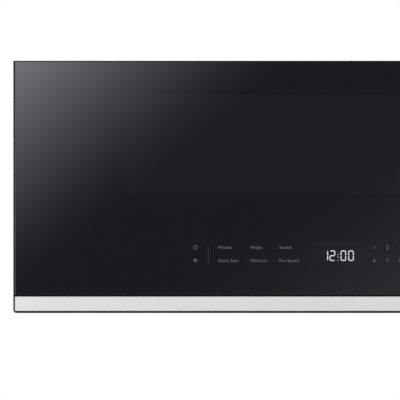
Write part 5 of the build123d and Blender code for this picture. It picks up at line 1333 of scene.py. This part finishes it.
@dataclass
class Electrics:
    """Power parts in the right bay, boards in the left bay, and the blower at the back."""

    yoke_ends: Point = (14.6 * MM, 24.0 * MM)
    magnet_thickness: float = 10.0 * MM
    magnet_margins: Point = (15.0 * MM, 7.0 * MM)
    coil_reach: float = 12.0 * MM
    coil_foot: float = 4.0 * MM
    can_terminals: float = 9.1 * MM
    diode: Point = (10.0 * MM, 8.0 * MM)
    switch_tags: float = 7.0 * MM
    board_depth: float = 6.6 * MM
    heat_sink: float = 40.0 * MM
    relay_stand: float = 3.0 * MM
    relay_height: float = 60.0 * MM
    chip_stand: float = 4.0 * MM
    chip_ends: Point = (50.0 * MM, 48.0 * MM)
    power_legs: float = 1.7 * MM
    choke_length: float = 42.0 * MM
    noise_legs: float = 5.0 * MM
    motor_leads: float = 8.0 * MM
    fan_bracket: float = 14.1 * MM

    def build(self) -> None:
        """Dresses the nodes of both bays and of the blower."""
        self.dress_power()
        self.dress_boards()
        self.dress_air()

    def dress_power(self) -> None:
        """Dresses the magnetron, its waveguide, the transformer, the capacitor and the door's switches."""
        dress(ZincSheet("guide_zinc", (0.55, 0.55, 0.56), 0.4), "waveguide")
        low, high = box_of("magnetron")
        thick, (side, end) = self.magnet_thickness, self.magnet_margins
        magnets = tuple(Zone({"X": (x, x + thick), "Y": (low.y + side, high.y - side),
                              "Z": (low.z + end, high.z - end)}, (0.03, 0.03, 0.032), 0.6)
                        for x in (low.x + self.yoke_ends[0], high.x - self.yoke_ends[1] - thick))
        dress(Zoned("magnetron_metal", (0.62, 0.62, 0.64), 0.32, zones=magnets, metal=0.95, spread=0.06),
              "magnetron")
        low, high = box_of("transformer")
        heights = (low.z + self.coil_foot, high.z + MM)
        coils = tuple(Zone({**slab("transformer", "Y", reach), "Z": heights}, (0.36, 0.10, 0.035), 0.35, 0.6)
                      for reach in (self.coil_reach, -self.coil_reach))
        dress(Zoned("core_varnish", (0.16, 0.12, 0.085), 0.4, zones=coils, metal=0.4, grain=Streak.ALONG_X,
                    relief=0.5, spread=0.3), "transformer")
        across, up = self.diode
        diode = {**slab("capacitor", "X", -across), **slab("capacitor", "Z", up)}
        ends = (Zone(slab("capacitor", "Y", self.can_terminals), (0.70, 0.56, 0.28), 0.35, 0.8),
                Zone(diode, DEEP_BLACK, 0.5))
        dress(Zoned("can_aluminium", (0.66, 0.67, 0.69), 0.3, zones=ends, metal=0.95, relief=0.05),
              "capacitor")
        dress(Zoned("cutout_caps", (0.58, 0.58, 0.57), 0.3, metal=0.9), "thermal_cutouts")
        tags = Zone(slab("interlock_switches", "Y", -self.switch_tags), (0.62, 0.46, 0.18), 0.35, 0.9)
        dress(Zoned("switch_black", DEEP_BLACK, 0.35, zones=(tags,)), "interlock_switches")
        dress(Moulding("latch_board_white", (0.74, 0.73, 0.68), 0.45), "latch_board")
        dress(Moulding("plunger_red", (0.50, 0.03, 0.02), 0.4), "plunger_upper_left", "plunger_upper_right",
              "plunger_lower")

    def dress_boards(self) -> None:
        """Dresses the power board and the noise filter."""
        low, high = box_of("power_board")
        face = high.x - self.board_depth
        chip_low, chip_high = self.chip_ends
        parts = (Zone({"X": (low.x - MM, face), "Z": (low.z, low.z + self.heat_sink)},
                      (0.03, 0.10, 0.35), 0.4),
                 Zone({"X": (low.x - MM, face - self.relay_stand), "Z": (high.z - self.relay_height, high.z)},
                      (0.55, 0.40, 0.06), 0.5),
                 Zone({"X": (face - self.chip_stand, face), "Z": (low.z + chip_low, high.z - chip_high)},
                      DEEP_BLACK, 0.35),
                 Zone({"X": (face + self.power_legs, high.x + MM)}, NYLON_WHITE, 0.5))
        dress(CircuitBoard("power_circuit", SOLDER_MASK, 0.35, zones=parts, across=("Y", "Z")), "power_board")
        low, high = box_of("noise_filter")
        above = (low.z + self.board_depth, high.z + MM)
        split = low.x + self.choke_length
        parts = (Zone({"Z": above, "X": (low.x, split)}, (0.45, 0.16, 0.05), 0.4),
                 Zone({"Z": above, "X": (split, high.x)}, (0.05, 0.10, 0.38), 0.4),
                 Zone(slab("noise_filter", "Z", self.noise_legs), NYLON_WHITE, 0.5))
        dress(CircuitBoard("noise_circuit", SOLDER_MASK, 0.35, zones=parts, across=("X", "Y")),
              "noise_filter")

    def dress_air(self) -> None:
        """Dresses the blower, its motor, the small fan and the air guide."""
        dress(Moulding("scroll_grey", (0.045, 0.045, 0.048), 0.5), "blower_housing")
        dress(Moulding("wheel_black", (0.025, 0.025, 0.027), 0.45), "vent_wheel_left", "vent_wheel_right",
              "cooling_fan_blade")
        dress(BrushedMetal("shaft_steel", (0.62, 0.62, 0.63), 0.22), "vent_shaft")
        leads = Zone(slab("vent_motor", "Y", self.motor_leads), CONNECTOR_WHITE, 0.5)
        dress(Zoned("motor_case", (0.20, 0.20, 0.205), 0.4, zones=(leads,), metal=0.7, grain=Streak.ALONG_Y,
                    spread=0.15), "vent_motor")
        bracket = Zone(slab("cooling_fan_frame", "Y", -self.fan_bracket), (0.52, 0.52, 0.53), 0.38, 0.9)
        dress(Zoned("fan_black", (0.028, 0.028, 0.030), 0.45, zones=(bracket,)), "cooling_fan_frame")
        dress(Moulding("guide_white", (0.66, 0.65, 0.61), 0.45), "air_guide")


# ============================================================================ STUDIO
@dataclass
class Lamp:
    """A soft rectangular lamp."""

    name: str
    place: Spot
    size: Point
    power: float
    aim: Spot = (0.0, 0.0, 0.1)


@dataclass(frozen=True)
class Slope:
    """A brightness that changes evenly across the photograph, from a known value at one pixel."""

    pixel: Point
    there: float
    rates: Point

    def run(self, shade: Shade, across: Value, down: Value) -> Socket:
        """The brightness at a place given in pixels, and never under 0."""
        start = self.there - self.rates[0] * self.pixel[0] - self.rates[1] * self.pixel[1]
        first = shade.sum_of("MULTIPLY", across, self.rates[0])
        second = shade.sum_of("MULTIPLY", down, self.rates[1])
        return shade.sum_of("MAXIMUM", shade.sum_of("ADD", shade.sum_of("ADD", first, second), start), 0.0)


@dataclass
class Studio:
    """The camera at the photograph's angle, the floor, the surround, the lamps and the mirrored card."""

    grid: PhotoGrid
    eye: Spot = (-0.173, -3.23, 0.125)
    face_y: float = -0.23
    view_width: float = 0.4424
    sensor: float = 36.0
    clip: Point = (0.05, 60.0)
    ambient: float = 0.55
    floor_z: float = -0.30
    floor_radius: float = 7.0
    floor_sides: int = 96
    floor_tone: float = 0.82
    floor_fade: Point = (0.9, 2.0)
    card_half: float = 2.4
    card_back: float = 0.1
    card_tint: Colour = (0.975, 1.0, 1.08)
    card_most: float = 4.0
    card_fade: Point = (0.58, 1.1)
    glass_share: float = 0.04
    corner_share: float = 0.149
    corner_glow: Slope = Slope((18.0, 64.0), 1.0, (-1 / 282, -1 / 235))
    right_glow: Slope = Slope((400.0, 290.0), 0.119, (0.00045, 0.00065))
    lamps: tuple[Lamp, ...] = (
        Lamp("key_lamp", (-1.5, -2.0, 1.7), (1.4, 1.1), 17.0),
        Lamp("fill_lamp", (2.0, -1.9, 0.9), (1.4, 1.2), 8.0),
        Lamp("top_lamp", (0.0, 0.2, 2.1), (2.0, 1.4), 15.0),
        Lamp("back_lamp", (0.5, 2.2, 1.2), (1.6, 1.2), 12.0),
    )

    def build(self) -> None:
        """Makes everything round the object."""
        self.add_camera()
        self.add_world()
        self.add_floor()
        self.add_card()
        for lamp in self.lamps:
            self.add_lamp(lamp)
        bpy.context.scene.view_settings.view_transform = "Standard"

    def add_camera(self) -> None:
        """Adds the camera, square on to the door."""
        data = bpy.data.cameras.new("camera")
        data.sensor_width = self.sensor
        data.lens = self.sensor * (self.face_y - self.eye[1]) / self.view_width
        data.clip_start, data.clip_end = self.clip
        camera = put("camera", data)
        camera.location = self.eye
        camera.rotation_euler = (math.radians(90), 0.0, 0.0)
        bpy.context.scene.camera = camera

    @staticmethod
    def seen(nodes: Nodes) -> Socket:
        """1 for rays from the camera and for those that metal and glass send on."""
        path = nodes.node("ShaderNodeLightPath").outputs
        either = nodes.sum_of("MAXIMUM", path["Is Camera Ray"], path["Is Glossy Ray"])
        return nodes.sum_of("MAXIMUM", either, path["Is Transmission Ray"])

    def add_world(self) -> None:
        """Makes the world white to look at and a soft even light to be lit by."""
        world = bpy.data.worlds.new("white_room")
        bpy.context.scene.world = world
        world.use_nodes = True
        nodes = Nodes(world.node_tree)
        nodes.tree.nodes.clear()
        soft, white = (nodes.node("ShaderNodeBackground", {"Color": WHITE, "Strength": strength}).outputs[0]
                       for strength in (self.ambient, 1.0))
        both = nodes.node("ShaderNodeMixShader", {0: self.seen(nodes), 1: soft, 2: white})
        nodes.node("ShaderNodeOutputWorld", {0: both.outputs[0]})

    def add_floor(self) -> None:
        """Adds a round pale floor that goes over into white away from the object."""
        mesh = bpy.data.meshes.new("floor")
        rim = [(*on_circle(self.floor_radius, 360 * i / self.floor_sides), self.floor_z)
               for i in range(self.floor_sides)]
        mesh.from_pydata(rim, [], [list(range(self.floor_sides))])
        shade = Shade("floor_pale")
        shade.set(base=shade.tones(shade.noise(3.0), (self.floor_tone,) * 3, 0.01), rough=0.7, specular=0.2)
        far = shade.node("ShaderNodeVectorMath", {0: shade.place}, operation="LENGTH").outputs["Value"]
        fade = shade.span(far, 0.0, 1.0, *self.floor_fade)
        white = shade.node("ShaderNodeEmission", {"Color": WHITE, "Strength": 1.0})
        factor = shade.sum_of("MULTIPLY", fade, self.seen(shade))
        both = shade.node("ShaderNodeMixShader", {0: factor, 1: shade.shader.outputs[0], 2: white.outputs[0]})
        # From below the floor is clear, so that the underside can be looked at.
        under = shade.node("ShaderNodeNewGeometry").outputs["Backfacing"]
        clear = shade.node("ShaderNodeBsdfTransparent")
        one_way = shade.node("ShaderNodeMixShader", {0: under, 1: both.outputs[0], 2: clear.outputs[0]})
        self.stand("floor", mesh, shade, one_way.outputs[0])

    def add_card(self) -> None:
        """Adds the card that the glass mirrors: a glow at the upper left and a fainter one at the right."""
        x, y, z = self.eye
        h = self.card_half
        form = bmesh.new()
        form.faces.new([form.verts.new((x + a * h, y - self.card_back, z + b * h))
                        for a, b in ((-1, -1), (-1, 1), (1, 1), (1, -1))])
        shade, grid = Shade("card_glow"), self.grid
        # A point of the glass mirrors the card's point that lies twice as far from the camera's axis.
        across = shade.sum_of("MULTIPLY_ADD", shade.axis("X"), 0.5 / grid.pixel,
                              grid.left + (x / 2 - grid.door_left) / grid.pixel)
        down = shade.sum_of("MULTIPLY_ADD", shade.axis("Z"), -0.5 / grid.pixel,
                            grid.top + (grid.case_top - z / 2) / grid.pixel)
        corner, right = (shade.sum_of("POWER", slope.run(shade, across, down), 2.0)
                         for slope in (self.corner_glow, self.right_glow))
        glow = shade.sum_of("ADD", shade.sum_of("MULTIPLY", corner, self.corner_share), right)
        bright = shade.sum_of("MINIMUM", shade.sum_of("DIVIDE", glow, self.glass_share), self.card_most)
        off = shade.node("ShaderNodeVectorMath", {0: shade.place, 1: (x, y - self.card_back, z)},
                         operation="DISTANCE")
        edge = shade.span(off.outputs["Value"], 0.0, 1.0, *self.card_fade)
        strength = shade.mix(edge, bright, 1.0)
        lit = shade.node("ShaderNodeEmission", {"Color": self.card_tint, "Strength": strength})
        card = self.stand("glow_card", written(form, "glow_card"), shade, lit.outputs[0])
        card.visible_camera = card.visible_diffuse = card.visible_shadow = card.visible_transmission = False

    @staticmethod
    def stand(name: str, mesh: bpy.types.Mesh, shade: Shade, surface: Socket) -> bpy.types.Object:
        """Puts a sheet of the studio in the scene.

        Args:
            name: Its name.
            mesh: Its mesh.
            shade: Its material.
            surface: The shader that the material ends in.

        Returns:
            The sheet.
        """
        shade.feed(shade.output.inputs["Surface"], surface)
        mesh.materials.append(shade.material)
        sheet = put(name, mesh)
        return sheet

    @staticmethod
    def add_lamp(lamp: Lamp) -> None:
        """Adds one lamp."""
        data = bpy.data.lights.new(lamp.name, "AREA")
        data.shape = "RECTANGLE"
        data.size, data.size_y = lamp.size
        data.energy = lamp.power
        made = put(lamp.name, data)
        made.location = lamp.place
        made.rotation_euler = (Vector(lamp.aim) - Vector(lamp.place)).to_track_quat("-Z", "Y").to_euler()


def main() -> None:
    """Builds the studio and the oven's looks."""
    logging.basicConfig(level=logging.INFO, format="%(name)s: %(message)s")
    rows, screws, grid = staggered_rows(), screws_on_spots(), PhotoGrid()
    Studio(grid).build()
    DoorFront(grid).build()
    DoorBack().build(rows)
    Case().build()
    Screws().build(screws)
    OvenInside().build()
    Underside().build(rows)
    Electrics().build()


if __name__ == "__main__":
    main()
